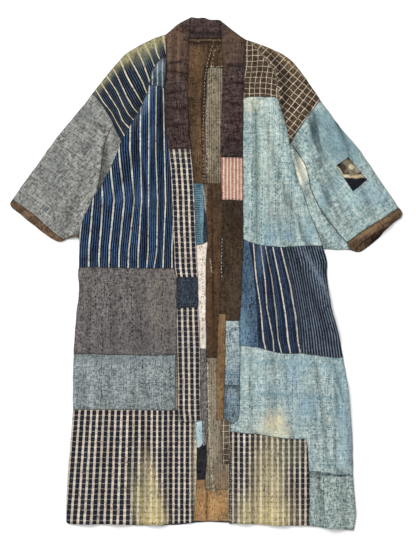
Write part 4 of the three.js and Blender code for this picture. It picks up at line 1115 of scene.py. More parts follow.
NAVY_STRIPES = [
    [(114, 70), (120, -5), (131, -80), (138, -159), (144, -183)],
    [(133, 57), (142, -15), (146, -80), (162, -159), (163, -183)],
    [(144, 57), (157, -5), (168, -92), (173, -159), (180, -185)],
    [(163, 52), (180, -33), (191, -101), (197, -159), (202, -188)],
    [(180, 62), (202, -27), (215, -101), (220, -159), (226, -188)],
]
SHOULDER_CREASE = [(118, 547), (134, 525), (166, 484), (175, 422), (175, 393)]
FINE_STRIPE_SPAN = 15 * FINE_STRIPE   # fifteen stripes from edge to edge of its panel


def shoulder_check_grain(x, y):
    """The check lies square inside the shoulder crease and turns with the arm outside it."""
    side = beside(SHOULDER_CREASE, x, y)[1]
    drawn_x = x + 1.6 * np.sin(y / 17)
    drawn_y = y + 0.0016 * (x - 125) ** 2 + 1.4 * np.sin(x / 13)
    inner = turned(-4, 1.08, 4.0)(drawn_x, drawn_y)
    outer = turned(-40, 0.95)(x + 2.2 * np.sin(y / 31), y + 2.2 * np.sin(x / 27))
    return np.where(side > 0, outer[0], inner[0]), np.where(side > 0, outer[1], inner[1])


hem_check_grain = fan(
    (-285.0, [(-312, -598), (-293, -327)]),
    (-134.0, [(-132, -598), (-130, -327)]),
    (-24.0, [(-22, -598), (-22, -327)]))
right_arm = turned(-37)
left_arm = turned(36)

# Grain of every piece that isn't cut straight up and down
GRAINS = {
    "right_shoulder_back": turned(-32),
    "left_shoulder_back": turned(30),
    "right_sleeve_back": right_arm,
    "left_sleeve_back": left_arm,
    "right_cuff_back": right_arm,
    "left_cuff_back": left_arm,
    "right_band_check_upper": along_band(["rBandOut1", "rBandOut1b"], ["rBandIn1"], CHECK_BAND),
    "right_band_check_lower": along_band(
        ["rBandOut5", "rBandOut4", "rBandOut3"], ["rBandIn3"], CHECK_BAND),
    "left_band_pink": turned(0, 1.0, -0.6),
    "right_shoulder": fan(*every(STRIPE, SHOULDER_STRIPES)),
    "right_front_stripe": fan(*every(STRIPE, FRONT_STRIPES)),
    "right_hem_check": hem_check_grain,
    "right_gusset": turned(-20),
    "right_sleeve_front": right_arm,
    "right_cuff_front": right_arm,
    "left_shoulder_check": shoulder_check_grain,
    "left_front_navy_stripe": fan(*every(STRIPE, NAVY_STRIPES)),
    "left_front_fine_stripe": fan(
        (0.0, SEAMS["lFineSide"]), (FINE_STRIPE_SPAN, SEAMS["lSideFine"])),
    "left_hem_check": turned(0, 1.0, 2.0),
    "left_hem_corner": turned(4),
    "left_gusset": turned(20),
    "left_sleeve_front": left_arm,
    "left_cuff_front": left_arm,
    "left_sleeve_patch": left_arm,
}

# ---- Pieces: each with the seams that bound it, in order ----
# Back panels and the hidden halves of the sleeves, cuffs and shoulders
BACK = {
    "back_right": "backYokeR rBackArm rSideTop rSideGray rSideBlue rSideHem backHemR backCentre",
    "back_left": "backYokeL lBackArm lSideTop lSideFine lSideTeal lSideCorner backHemL backCentre",
    "right_shoulder_back": "rShoulderEdge rArmhole rArmholeLow backYokeR backCentreTop backNeckR",
    "left_shoulder_back": "lShoulderEdge lArmhole backYokeL backCentreTop backNeckL",
    "right_sleeve_back": (
        "rArmhole rArmholeLow rBackArm rBackArmEnd rGussetFoot rCuffEnd rCuffSeam rSleeveTop"),
    "left_sleeve_back": "lArmhole lBackArm lSideTop lGussetFoot lGussetEnd lCuffSeam lSleeveTop",
    "right_cuff_back": "rCuffSeam rCuffLip rCuffEnd",
    "left_cuff_back": "lCuffSeam lGussetEnd lCuffFoot lCuffBackLip lCuffTop",
}

# Patches on the inside of the back, seen in the opening
INSIDE = {
    "inner_brown_upper": "inEdgeTopL seamFoldL brownFootB brownFootA inLeftA",
    "back_seam_fold": "foldCap seamFoldR seamFoldR2 foldFoot seamFoldL",
    "inner_olive_top": "inEdgeTopR inRightA oliveFoot seamFoldR",
    "inner_gray_stripe": "oliveFoot inRightB grayFoot seamFoldR2",
    "inner_dark_brown": "foldFoot grayFoot inRightC darkFoot darkSide3 creamSide darkSide2 darkSide1",
    "inner_blue": "brownFootB darkSide1 blueSide blueFoot inLeftB",
    "inner_navy_sliver": "darkSide2 sliverFoot blueSide",
    "inner_cream": "blueFoot sliverFoot creamSide creamFoot inLeftC",
    "inner_gray_brown": "creamFoot darkSide3 oliveLowIn blackTop iceSide iceTop inLeftD",
    "inner_ice_blue": "iceTop iceSide iceFoot inLeftE",
    "inner_black": "iceFoot blackTop blackSide blackFoot inLeftF",
    "inner_olive_lower": "darkFoot inRightD oliveLowFoot tanSide blackSide oliveLowIn",
    "inner_tan_hem": "blackFoot tanSide oliveLowFoot inRightE tanFoot inLeftG",
}

# Collar
COLLAR = {
    "collar_right": (
        "cRightTop cRightInTop cRightPipe cRightIn rCollarFoot rCollarOutLow rCollarOutMid rCollarOutTop"),
    "collar_left": "cLeftTop lCollarOutTop lCollarOutLow cLeftFoot cLeftIn cLeftPipe cLeftInTop",
    "neck_band": "neckTop cLeftInTop neckFoot cRightInTop",
    "neck_piping": "neckFoot cLeftPipe pipeFoot cRightPipe",
}

# Front bands
BANDS = {
    "right_band_check_upper": "rCollarFoot rBandIn1 rBandCutA rBandOut1b rBandOut1",
    "right_band_navy_patch": "rBandCutA rBandIn2 rBandCutB rBandOut2",
    "right_band_check_lower": "rBandCutB rBandIn3 rBandToe rBandFoot rBandOut5 rBandOut4 rBandOut3",
    "left_band_pink": "cLeftFoot lBandOut1 lPinkFoot lPinkIn",
    "left_band_brown": "lPinkFoot lBandOut2a lBandOut2b lBlueTop lTanTopIn lTanTop lBrownIn",
    "left_edge_tan": "lTanTop lTanTopIn lBlueIn lPatchIn lTanToe lTanFoot lTanIn",
    "left_band_pale_blue": "lBlueTop lBandOut3 lBandOut4 lPatchTop lBlueIn",
    "left_band_stitched_patch": "lPatchTop lBandOut5 lPatchToe lPatchIn",
    "left_facing_check": "lTanToe lPatchToe lTealToe lFacingOut lFacingFoot lFacingIn",
}

# Fronts and sleeves, which carry the folds
FRONTS = {
    "right_shoulder": (
        "rShoulderEdge rArmhole rArmholeLow rYokeTail rUnderYoke rFoldTip rYokeCut rCollarOutTop"),
    "right_front_upper": "rYokeCut rCollarOutMid rCross rFoldUpper rFoldTip",
    "right_front_stripe": "rCross rFold rSideTop rGrayTop rBandOut1 rCollarOutLow",
    "right_front_gray": "rGrayTop rSideGray rGrayFoot rStripTop rBandOut3 rBandOut2 rBandOut1b",
    "right_front_blue_gray": "rGrayFoot rSideBlue rHemTop rStripSide",
    "right_edge_gray_strip": "rStripTop rBandOut4 rStripFoot rStripSide",
    "right_hem_check": "rHemTop rStripFoot rBandOut5 rBandFoot rHemInner rHem rSideHem",
    "right_gusset": "rArmholeLow rYokeTail rUnderGusset rGussetTail rGussetIn",
    "right_sleeve_front": (
        "rArmhole rGussetIn rGussetTail rUnderSleeve rSleeveFoot rGussetFoot rCuffEnd rCuffSeam "
        "rSleeveTop"),
    "right_cuff_front": "rCuffSeam rCuffLip rCuffEnd",
    "left_shoulder_check": "lShoulderEdge lArmhole lYokeTail lUnderYoke lPaleTop lCollarOutTop",
    "left_front_pale": (
        "lPaleTop lPaleTopEnd lFold lArmSeam lPaleFootC lPaleFootB lPaleFootA lBandOut2a lBandOut1 "
        "lCollarOutLow"),
    "left_front_mid_blue": "lPaleFootA lBlueSide lTealTopA lBandOut3 lBandOut2b",
    "left_front_navy_stripe": "lPaleFootB lFineSide lTealTopB lBlueSide",
    "left_front_fine_stripe": "lPaleFootC lSideTop lSideFine lTealTopC lFineSide",
    "left_front_teal": (
        "lTealTopA lTealTopB lTealTopC lSideTeal lCornerTop lHemSide lHemTop lTealToe lBandOut5 lBandOut4"),
    "left_hem_check": "lHemTop lHemSide lHemSideLow lHem lHemInner lFacingOut",
    "left_hem_corner": "lCornerTop lSideCorner lCornerHem lHemSideLow",
    "left_gusset": "lGussetSeam lGussetEnd lGussetFoot lSideTop lArmSeam lUnderGusset lYokeTail",
    "left_sleeve_front": "lArmhole lGussetSeam lCuffSeam lSleeveTop",
    "left_cuff_front": "lCuffSeam lGussetEnd lCuffFoot lCuffLip lCuffTop",
    "left_sleeve_patch": "sleevePatch",
}

# Fades, stains, painted shadows and painted highlights of each piece, as the function under Colours takes
# them
CUFF_SHADE = [(412, 84, 40, 8, 38, "0d0806", 0.95), (408, 70, 44, 4, 38, "7a5f45", 0.5)]
STAINS_AND_PAINTED_SHADE = {
    "right_cuff_back": CUFF_SHADE,
    "left_cuff_back": CUFF_SHADE,
    "inner_brown_upper": [
        (-24, 500, 20, 60, 0, "75593c", 0.35), (-14, 330, 10, 110, 0, "7b6244", 0.3),
        # the near-black band at y 556 is painted shadow under the neck piping
        (-10, 556, 60, 5, 0, "120d09", 0.9)],
    "back_seam_fold": [(-6, 460, 4, 160, 0, "2c2118", 0.6), (0, 300, 3, 90, 0, "a8977a", 0.4)],
    # the near-black band at y 556 is painted shadow under the neck piping
    "inner_olive_top": [(30, 556, 60, 5, 0, "120d09", 0.9), (50, 520, 6, 40, 0, "1c150f", 0.5)],
    "inner_gray_stripe": [(20, 226, 40, 14, 0, "453824", 0.7)],
    "inner_dark_brown": [
        (0, 0, 60, 240, 0, "6a4c35", 0.4), (-2, 190, 5, 30, 0, "a2957f", 0.5),
        (16, 20, 2.6, 220, 1, "120c08", 0.8)],
    "inner_blue": [(-10, 140, 5, 70, 0, "8db0bd", 0.4)],
    "inner_cream": [(-20, 64, 30, 8, 0, "bfb0a4", 0.5), (-8, -150, 24, 30, 0, "cdbfb2", 0.5)],
    "inner_olive_lower": [
        (24, -400, 40, 110, 0, "a59c8a", 0.5), (20, -476, 20, 24, 0, "2a241d", 0.4),
        (40, -500, 24, 30, 0, "7a5c3a", 0.6), (30, -420, 20, 60, 0, "5f5244", 0.4)],
    "inner_tan_hem": [
        (0, -560, 60, 30, 0, "bf9460", 0.6), (30, -500, 40, 26, 0, "5d4a36", 0.65),
        (-22, -520, 14, 60, 0, "6e5439", 0.4), (2, -560, 4, 50, 0, "3a2a1a", 0.75)],
    "collar_right": [
        (-76, 560, 34, 60, 20, "674f3d", 0.6), (-88, 520, 4, 70, 0, "8a7158", 0.4),
        (-66, 520, 3, 60, 0, "8a7158", 0.4), (-90, 400, 12, 90, 0, "2b2124", 0.4),
        # painted shade in the creases between the collar's rows of stitching
        *[(-73, y, 30, 3.2, tilt, "0d0909", 0.85)
          for y, tilt in ((508, 10), (484, -7), (436, 9), (398, -8), (357, 6))]],
    "collar_left": [
        (60, 545, 34, 50, -20, "65513f", 0.55), (66, 300, 40, 30, 0, "241c1e", 0.4),
        # painted shade in the creases between the collar's rows of stitching
        *[(66, y, 26, 3.2, tilt, "0d0909", 0.8)
          for y, tilt in ((500, -12), (458, 6), (410, -7), (366, 8), (322, -5))]],
    # painted shade in the crease where the collar turns over behind the neck
    "neck_band": [(0, 575, 60, 8, 0, "2a2122", 0.6)],
    "right_band_check_upper": [(-62, 292, 40, 12, 0, "4d4637", 0.5)],
    "right_band_check_lower": [(-42, -170, 40, 180, 0, "2c2e36", 0.3)],
    "left_band_pink": [(62, 272, 40, 8, 0, "8a625c", 0.5)],
    "left_band_brown": [(60, 150, 36, 40, 0, "2b221c", 0.5), (70, -60, 22, 60, 0, "54473a", 0.4)],
    "left_edge_tan": [(38, -220, 40, 260, 0, "55402a", 0.6)],
    "left_band_pale_blue": [(66, -245, 30, 18, 0, "4a6478", 0.45)],
    "left_band_stitched_patch": [
        (60, -271, 26, 4, 0, "1e3044", 0.8), (46, -316, 6, 44, 0, "2c4258", 0.6),
        (66, -308, 10, 18, 0, "8aa3ae", 0.45), (62, -340, 24, 6, 0, "2c4258", 0.5)],
    "left_facing_check": [(44, -400, 24, 60, 0, "8d8271", 0.3), (47, -445, 16, 30, 0, "33281f", 0.4)],
    "right_shoulder": [
        (-130, 556, 54, 18, 28, "b3aa78", 0.9), (-196, 520, 48, 15, 40, "aca270", 0.9),
        (-246, 468, 46, 12, 52, "948d68", 0.85), (-146, 522, 40, 18, 30, "7d8068", 0.35)],
    "right_front_upper": [(-112, 500, 20, 26, 0, "8c98a0", 0.35)],
    # the three near-black lines are painted shadow in the front's creases
    "right_front_stripe": [
        (-190, 190, 90, 26, 0, "3f5c86", 0.25), (-150, 410, 14, 50, -20, "8b98a4", 0.25),
        (-106, 350, 6, 90, 0, "05070c", 0.85), (-152, 236, 4, 56, 8, "080c16", 0.7),
        (-168, 250, 5, 60, 4, "0a1020", 0.4)],
    "right_front_gray": [(-200, -150, 120, 50, 0, "565055", 0.3), (-100, -60, 40, 90, 0, "7a6c5f", 0.3)],
    "right_front_blue_gray": [(-200, -205, 120, 10, 0, "6b757b", 0.4)],
    "right_edge_gray_strip": [(-71, -260, 14, 100, 0, "8b7e72", 0.75)],
    "right_hem_check": [
        (-154, -556, 20, 80, 16, "848a66", 0.5), (-128, -596, 32, 84, 8, "d8c684", 0.98),
        (-136, -500, 16, 60, 6, "c4b684", 0.75), (-26, -470, 5, 140, 0, "cdbb94", 0.7)],
    "right_gusset": [(-225, 290, 14, 60, 20, "b2b5ad", 0.4)],
    "right_sleeve_front": [
        (-292, 382, 24, 12, 50, "5e6263", 0.5), (-290, 305, 16, 10, 0, "5e6263", 0.5),
        (-370, 260, 30, 16, 50, "666a6b", 0.45), (-376, 205, 30, 20, 50, "6a6e6e", 0.4)],
    "right_cuff_front": [(-335, 86, 16, 14, 0, "a08350", 0.5)],
    "left_shoulder_check": [(150, 548, 50, 12, -22, "8c7654", 0.7), (215, 500, 44, 12, -42, "86704f", 0.6)],
    "left_front_pale": [
        (110, 410, 30, 26, 0, "c9c6ac", 0.5), (124, 250, 10, 150, 0, "75857a", 0.45),
        (150, 300, 14, 130, 0, "c3cdc2", 0.4), (206, 230, 8, 120, -4, "6f8a90", 0.4),
        (180, 116, 90, 36, 0, "76929a", 0.4), (190, 150, 40, 24, 0, "9c9a96", 0.3),
        (150, 82, 20, 14, 0, "6a90a8", 0.5), (194, 90, 16, 12, 0, "6a90a8", 0.5),
        (250, 92, 12, 26, 0, "6f93a8", 0.5)],
    "left_front_mid_blue": [(92, -60, 8, 120, 0, "26394f", 0.35), (88, -140, 14, 60, 0, "86a9bb", 0.5)],
    "left_front_navy_stripe": [(132, 40, 10, 40, 0, "5f7896", 0.4)],
    # the two dark marks are painted shade in its folds, the pale one a painted highlight on a ridge
    "left_front_fine_stripe": [
        (250, -60, 14, 90, 25, "171c2a", 0.55), (270, -8, 5, 64, 29, "8796a8", 0.4),
        (304, 20, 12, 44, 8, "171c2a", 0.4)],
    "left_front_teal": [
        (164, -366, 32, 36, 0, "decfa8", 0.8), (208, -235, 22, 34, 0, "6a8ea6", 0.45),
        (250, -320, 28, 34, 0, "6f92a8", 0.45), (100, -220, 22, 40, 0, "a9bcb8", 0.3),
        (200, -214, 130, 12, -4, "7295a2", 0.4), (210, -292, 110, 5, -2, "64899a", 0.4),
        (140, -390, 70, 24, 0, "b9c2ae", 0.4), (326, -320, 22, 140, 4, "6a8b98", 0.5)],
    "left_hem_check": [
        (150, -500, 36, 100, 0, "bdb285", 0.85), (142, -590, 62, 60, 0, "d6c588", 0.92),
        (200, -430, 34, 40, 0, "747d60", 0.5), (92, -570, 24, 50, 0, "a29c7a", 0.2)],
    "left_hem_corner": [(300, -480, 60, 7, 0, "3b4a52", 0.6)],
    "left_gusset": [(234, 262, 20, 70, -14, "e4e1cc", 0.9)],
    # the dark mark at x 262, y 350 is painted shade in a trough of the sleeve
    "left_sleeve_front": [
        (318, 322, 54, 84, 36, "607f8a", 0.85), (345, 345, 130, 8, -54, "d0ccb2", 0.6),
        (262, 350, 10, 40, -14, "34535f", 0.7), (400, 190, 40, 30, -50, "7fa0b4", 0.4),
        (300, 200, 16, 70, -30, "5f8290", 0.35)],
    # the near-black mark is a painted shadow inside the cuff's opening
    "left_cuff_front": [
        (412, 84, 40, 7, 38, "070403", 0.97, 2), (404, 66, 44, 4, 36, "5a4130", 0.5),
        (404, 112, 74, 5, 32, "8b7355", 0.55)],
    "left_sleeve_patch": [
        (346, 256, 25, 19, -55, "8d826c", 0.95, 4), (366, 252, 12, 9, -55, "b3a68c", 0.9, 4),
        (328, 254, 9, 8, -55, "3a352e", 0.9, 4), (319, 246, 16, 4, -58, "d8c8a4", 1.0, 3),
        (336, 233, 12, 4, -8, "d8c8a4", 1.0, 3), (364, 233, 20, 4, 4, "cdbb97", 1.0, 3),
        (348.6, 257, 7, 7, 30, "f6e8c4", 1.0, 5)],
}

# ---- Laying the pieces ----
# From the back upwards: pieces, upper side, thickness, drop at a piece's own edge, mesh spacing
LAYERS = (
    (BACK, back_top, BACK_CLOTH, 0.0, COARSE),
    (INSIDE, inside_top, PATCH_WALL, 0.7, FINE),
    (COLLAR, collar_top, COLLAR_WALL, 2.4, FINE),
    (BANDS, band_top, BAND_WALL, 1.5, FINE),
    (FRONTS, front_top, CLOTH, 0.7, FINE),
)

# What differs from the layer's own
OWN_TOPS = {
    "back_seam_fold": seam_fold_top, "neck_band": neck_top, "neck_piping": piping_top,
    "right_front_upper": right_lapped_top, "right_front_stripe": right_lapped_top,
    "left_front_pale": left_lapped_top, "left_sleeve_patch": sleeve_patch_top,
}
OWN_WALLS = {"neck_band": NECK_WALL, "neck_piping": PATCH_WALL}
OWN_SPACING = {"right_cuff_back": FINE, "left_cuff_back": FINE, "left_sleeve_patch": FINEST}
OWN_SEAM_SHADE = {"neck_piping": PIPING_SHADE}

SLOT_OF = {row["node"]: row["material_slot"] for row in frame["record"]["subparts"]}
pieces = {}


def sheet_piece(node, outline, top, wall, edge_drop, step):
    """One piece of cloth: a thin closed wall under a height function, with its grain, its stains and
    painted shade, its seam edges and its fold depth for painted fold shade.
    """
    points, triangles = triangulated(outline, step)
    x, y = points.T
    edge = from_edge(outline, x, y)
    rounding = 1 - np.clip(edge / EDGE_ROUND, 0, 1)
    upper = top(x, y) - edge_drop * rounding * rounding
    lower = upper - wall
    turns_down = (from_rim(x, y) < AT_RIM) & (lower > 0) & (wall < SINGLE)
    lower = np.where(turns_down, FLOOR_GAP, np.maximum(lower, FLOOR_GAP))
    piece = closed_wall(node + "_cloth", points, triangles, upper, lower, CLOTHS[SLOT_OF[node]])
    mark_grain(piece.data, *GRAINS.get(node, straight)(x, y))
    # stains together with painted shadows and highlights
    mark(piece.data, "stain_and_painted_shade", "FLOAT_COLOR", stains_and_painted_shade(STAINS_AND_PAINTED_SHADE.get(node, []), x, y))
    mark(piece.data, "hem", "FLOAT", np.clip(edge / OWN_SEAM_SHADE.get(node, SEAM_SHADE), 0, 1))
    # fold depth, kept to paint shade into troughs and light onto crests
    mark(piece.data, "painted_fold_shade", "FLOAT", hollows(folded_level if node in FRONTS else top, x, y))
    return piece


for layer, layer_top, layer_wall, layer_drop, layer_step in LAYERS:
    for node, names in layer.items():
        own_top = OWN_TOPS.get(node, layer_top)
        node_outline = inset(outline_of(names.split()), SEAM_GAP / 2)
        laid = sheet_piece(node, node_outline, own_top, OWN_WALLS.get(node, layer_wall), layer_drop,
                           OWN_SPACING.get(node, layer_step))
        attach(laid, "root")
        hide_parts(node)
        pieces[node] = (laid, node_outline, own_top)


# ---- Stitches and frayed threads ----
def joined(name, parts, material):
    """Many small closed shapes as one piece."""
    vertices, faces = [], []
    for points, links in parts:
        start = len(vertices)
        vertices += points
        faces += [tuple(start + i for i in link) for link in links]
    piece = new_piece(name, [tuple(c * MM for c in point) for point in vertices], faces, material)
    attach(piece, "root")
    return piece


def run_lengths(line):
    """How far along a line each of its points lies."""
    return np.concatenate([[0], np.cumsum(np.hypot(*np.diff(line, axis=0).T))])


def one_stitch(x, y, z, way, length, width):
    """A short bulging bar of thread, its ends sunk in the cloth."""
    ux, uy = way
    points = [(x - ux * length / 2, y - uy * length / 2, z - END_SINK)]
    for along in (-0.28, 0.28):
        cx, cy = x + ux * length * along, y + uy * length * along
        for side, lift in ((1, 0.1), (0, 0.62), (-1, 0.1), (0, -0.3)):
            points.append((cx - uy * width / 2 * side, cy + ux * width / 2 * side, z + lift))
    points.append((x + ux * length / 2, y + uy * length / 2, z - END_SINK))
    faces = []
    for k in range(4):
        after = (k + 1) % 4
        faces += [(0, 1 + k, 1 + after), (1 + k, 5 + k, 5 + after, 1 + after), (9, 5 + after, 5 + k)]
    return points, [face[::-1] for face in faces]


def stitch_row(line, top, dice, length, gap, width):
    """Running stitches along a line, as uneven as hand sewing."""
    line = np.array(line, float)
    far = run_lengths(line)
    at = np.arange(length / 2, far[-1], length + gap)
    at = at + dice.uniform(-0.7, 0.7, len(at))
    at = at[dice.uniform(0, 1, len(at)) > STITCHES_LOST]
    x, y = np.interp(at, far, line[:, 0]), np.interp(at, far, line[:, 1])
    ahead = [np.interp(at + 1.0, far, line[:, k]) - np.interp(at - 1.0, far, line[:, k]) for k in (0, 1)]
    size = np.maximum(np.hypot(*ahead), 1e-6)
    ways = np.stack(ahead, 1) / size[:, None] + dice.uniform(-0.12, 0.12, (len(at), 2))
    x, y = x + dice.uniform(-0.5, 0.5, len(at)), y + dice.uniform(-0.5, 0.5, len(at))
    z = top(x, y)
    lengths = length * dice.uniform(0.75, 1.25, len(at))
    return [one_stitch(*spot, way, size, width) for *spot, way, size in zip(x, y, z, ways, lengths)]


def running_stitches(node, name, material, rows, seed, length=5.0, gap=4.2, width=1.9):
    dice = np.random.default_rng(seed)
    top = pieces[node][2]
    parts = sum((stitch_row(row, top, dice, length, gap, width) for row in rows), [])
    return joined(name, parts, material)


def edge_stitches(node, material, seed):
    """Small stitches that hold a patch down, just inside its edge."""
    ring = inset(pieces[node][1], 3.2)
    closed = [np.vstack([ring, ring[:1]])]
    return running_stitches(node, node + "_edge_stitches", material, closed, seed, 2.6, 3.6, 0.9)


def one_thread(x, y, z, way, length, bend, width):
    """A loose end of thread: a thin three-sided tube that tapers and curls."""
    points = []
    for k in range(4):
        t = k / 3
        cos, sin = math.cos(bend * t), math.sin(bend * t)
        ux, uy = way[0] * cos - way[1] * sin, way[0] * sin + way[1] * cos
        cx, cy, cz = x + ux * length * t, y + uy * length * t, z + 0.5 * math.sin(3 * t) - 0.5 * t
        radius = width / 2 * (1 - 0.6 * t)
        points += [(cx - uy * radius, cy + ux * radius, cz), (cx, cy, cz + radius),
                   (cx + uy * radius, cy - ux * radius, cz)]
    faces = [(0, 1, 2), (11, 10, 9)]
    for ring in range(3):
        for k in range(3):
            a, b = ring * 3 + k, ring * 3 + (k + 1) % 3
            faces.append((a, a + 3, b + 3, b))
    return points, faces


def frayed(node, name, material, line, count, length, seed, spread_out=1.0, base=None, width=0.8):
    """Loose threads along a raw edge, most of them pointing to the right of the line."""
    dice = np.random.default_rng(seed)
    line = np.array(line, float)
    far = run_lengths(line)
    at = np.sort(dice.uniform(0, far[-1], count))
    x, y = np.interp(at, far, line[:, 0]), np.interp(at, far, line[:, 1])
    ahead = np.stack([np.interp(at + 2, far, line[:, k]) - np.interp(at - 2, far, line[:, k])
                      for k in (0, 1)], 1)
    ahead /= np.maximum(np.linalg.norm(ahead, axis=1, keepdims=True), 1e-6)
    turn = -math.pi / 2 + dice.normal(0, 0.6 * spread_out, count)
    ways = np.stack([ahead[:, 0] * np.cos(turn) - ahead[:, 1] * np.sin(turn),
                     ahead[:, 0] * np.sin(turn) + ahead[:, 1] * np.cos(turn)], 1)
    z = (pieces[node][2](x, y) if base is None else np.full(count, base)) - THREAD_SINK
    lengths = length * dice.uniform(0.4, 1.3, count)
    bends = dice.normal(0, 0.5, count)
    parts = [one_thread(x[i], y[i], z[i], ways[i], lengths[i], bends[i], width) for i in range(count)]
    return joined(name, parts, material)


def upright(*spots):
    """Rows that run up the coat: each is x, lowest and highest y."""
    rows = []
    for x, low, high in spots:
        y = np.arange(low, high, 12.0)
        rows.append(np.stack([x + 2.2 * rumple(y * 0 + x, y, 31, 47, 81), y], 1))
    return rows


def ring_of(x, y, wide, high, count):
    """A closed ring of points round a middle."""
    turns = np.linspace(0, 2 * math.pi, count)
    return [(x + wide * math.cos(a), y + high * math.sin(a)) for a in turns]


# Rows of stitches: piece, name, thread, rows, seed, then length, gap and width
STITCH_ROWS = [
    ("right_front_gray", "gray_patch_stitches", DARK_THREAD,
     upright((-266, -86, 8), (-278, -182, -38), (-230, -170, -26), (-202, -110, 8), (-187, -14, 12),
             (-178, -170, -2), (-156, -170, -74), (-106, -170, 10), (-250, -186, -90)),
     101, 5.6, 4.0, 2.4),
    ("right_front_blue_gray", "blue_gray_stitches", DARK_THREAD,
     upright((-154, -302, -200), (-120, -314, -230), (-106, -320, -204), (-84, -320, -200),
             (-250, -320, -210)), 102),
    ("left_front_pale", "pale_front_stitches", SLATE_THREAD,
     upright((110, 92, 286), (134, 82, 238), (166, 92, 298), (206, 82, 260), (150, 300, 400),
             (120, 290, 410)), 103),
    ("left_front_teal", "teal_stitches", SLATE_THREAD,
     [*upright((104, -290, -236), (80, -302, -190), (208, -372, -230)),
      [(264, -245), (274, -303), (281, -399), (283, -466)]], 104),
    ("left_hem_corner", "hem_corner_stitches", DARK_THREAD,
     [[(283, -490), (283, -572)], ring_of(283, -598, 9, 9, 12)], 105),
    ("left_sleeve_front", "sleeve_seam_stitches", DARK_THREAD, [SEAMS["lGussetSeam"]],
     114, 6.0, 0.6, 1.5),
    ("inner_cream", "cream_patch_stitches", DARK_THREAD, upright((-9, -170, 60)), 106, 3.6, 3.4, 1.1),
    ("left_hem_check", "left_hem_stitches", PALE_THREAD, upright((58.5, -596, -392)),
     107, 3.0, 2.4, 1.4),
    ("left_band_stitched_patch", "ring_stitches", DARK_THREAD,
     [ring_of(61, -340, 11, 10, 14), [(46, -317), (80, -317)]], 108, 3.2, 2.6, 1.2),
    ("left_band_brown", "band_mending", BLUE_THREAD, upright((38, -8, 96)), 109, 5.0, 3.0, 1.6),
    ("left_band_pale_blue", "band_darns", DARK_THREAD,
     [[(50, y), (78, y + 1)] for y in (-243, -250, -257, -264)], 110, 5.0, 3.0, 1.0),
    ("inner_olive_top", "olive_seam_stitches", PALE_THREAD,
     [[(10, 500), (24, 497), (38, 499), (54, 498)]], 111, 4.0, 2.6, 1.3),
    ("back_seam_fold", "centre_seam_stitches", PALE_THREAD,
     [[(16, 547), (5, 513), (-3, 465), (-6, 393), (-7, 321), (-5, 225)]], 112, 3.4, 4.6, 1.1),
    ("inner_dark_brown", "inner_seam_stitches", BROWN_THREAD, upright((12, -190, 200)),
     113, 3.4, 9.0, 1.1),
]
for row in STITCH_ROWS:
    running_stitches(*row)

EDGE_THREADS = {
    "right_front_upper": DARK_THREAD, "right_front_gray": DARK_THREAD,
    "right_front_blue_gray": DARK_THREAD, "right_hem_check": DARK_THREAD,
    "right_band_navy_patch": DARK_THREAD, "left_front_teal": BLUE_THREAD,
    "left_hem_check": DARK_THREAD, "left_hem_corner": DARK_THREAD, "left_sleeve_patch": DARK_THREAD,
    "left_band_stitched_patch": DARK_THREAD, "left_band_pink": DARK_THREAD,
    "left_facing_check": BROWN_THREAD, "inner_blue": BLUE_THREAD,
}
for edge_seed, (node, thread) in enumerate(EDGE_THREADS.items(), start=201):
    edge_stitches(node, thread, edge_seed)

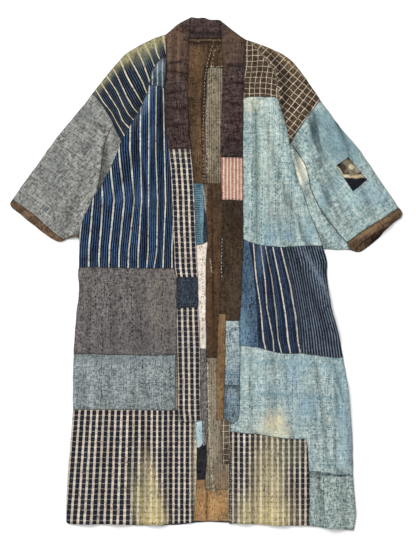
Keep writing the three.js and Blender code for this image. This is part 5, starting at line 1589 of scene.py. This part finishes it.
# Frayed edges: piece, name, thread, line, count, length, seed, then spread, height and width
FRAYED_EDGES = [
    ("inner_dark_brown", "dark_strip_fray", PALE_THREAD,
     [(-7, 211), (-2, 187), (0, 153)], 46, 5.0, 301),
    ("inner_dark_brown", "torn_bits", PALE_THREAD, [(10, 38), (14, 4)], 34, 5.0, 302, 2.4),
    ("inner_blue", "blue_patch_fray", BLUE_THREAD, [(-2, 148), (-5, 187)], 40, 4.5, 303),
    ("inner_ice_blue", "ice_patch_fray", PALE_THREAD, [(-7, -413), (-7, -351)], 40, 5.0, 304),
    ("inner_tan_hem", "hem_seam_fray", BROWN_THREAD, [(0, -591), (2, -505)], 60, 6.0, 305, 1.6),
    ("inner_olive_lower", "olive_flecks", DARK_THREAD,
     [(19, -509), (12, -481), (10, -442)], 70, 6.0, 306, 2.4),
    ("inner_olive_lower", "olive_seam_fray", PALE_THREAD,
     [(17, -524), (12, -471), (7, -399), (5, -303), (2, -217)], 260, 9.0, 313, 1.6, 5.6, 1.0),
    ("left_hem_check", "hem_edge_fray", PALE_THREAD,
     [(57, -361), (55, -471), (56, -601)], 130, 5.0, 307),
    ("left_facing_check", "facing_fray", BROWN_THREAD, [(35, -361), (35, -457)], 50, 5.0, 308),
    ("back_seam_fold", "seam_fold_fray", PALE_THREAD,
     [(2, 225), (1, 321), (2, 393), (5, 446), (12, 499), (19, 537)], 90, 5.0, 309, 1.4, None, 1.0),
    ("right_cuff_front", "cuff_corner_fray", BROWN_THREAD,
     [(-336, 86), (-314, 95), (-302, 86)], 50, 6.0, 310, 1.4),
    ("left_hem_corner", "corner_top_fray", DARK_THREAD,
     [(350, -483), (312, -485), (250, -481)], 60, 4.0, 311),
    ("right_hem_check", "hem_fray", BROWN_THREAD,
     [(-38, -602), (-134, -603), (-242, -603)], 70, 4.5, 312, 1.0, 2.0),
]
for edge in FRAYED_EDGES:
    frayed(*edge)


# ---- Floor, lights and camera ----
CAMERA_AT = (0.0048, -0.009, 3.155)
LENS = 85.0
SKY_STRENGTH = 0.58


def plain_floor():
    bpy.ops.mesh.primitive_plane_add(size=12, location=(0, 0, 0))
    floor = bpy.context.object
    floor.name = "floor"
    paper = bpy.data.materials.new("pale_floor")
    paper.use_nodes = True
    shader = paper.node_tree.nodes["Principled BSDF"]
    shader.inputs["Base Color"].default_value = (0.97, 0.97, 0.97, 1)
    shader.inputs["Roughness"].default_value = 0.9
    shader.inputs["Specular IOR Level"].default_value = 0.1
    floor.data.materials.append(paper)


def soft_light(name, place, size, power):
    lamp = bpy.data.lights.new(name, "AREA")
    lamp.shape = "DISK"
    lamp.size = size
    lamp.energy = power
    light = bpy.data.objects.new(name, lamp)
    light.location = place
    light.rotation_euler = Vector(place).to_track_quat("Z", "Y").to_euler()
    bpy.context.scene.collection.objects.link(light)


def white_sky():
    world = bpy.data.worlds.new("studio")
    world.use_nodes = True
    background = world.node_tree.nodes["Background"]
    background.inputs["Color"].default_value = (1, 1, 1, 1)
    background.inputs["Strength"].default_value = SKY_STRENGTH
    bpy.context.scene.world = world


def camera_above():
    """The camera looks straight down at the middle of the coat."""
    data = bpy.data.cameras.new("camera")
    data.lens = LENS
    camera = bpy.data.objects.new("camera", data)
    camera.location = CAMERA_AT
    bpy.context.scene.collection.objects.link(camera)
    bpy.context.scene.camera = camera


bpy.ops.object.select_all(action="DESELECT")
plain_floor()
soft_light("key", (-1.5, 1.5, 2.6), 1.6, 83)
soft_light("fill", (2.0, -1.0, 3.0), 2.4, 22)
white_sky()
bpy.context.scene.view_settings.view_transform = "Standard"
camera_above()
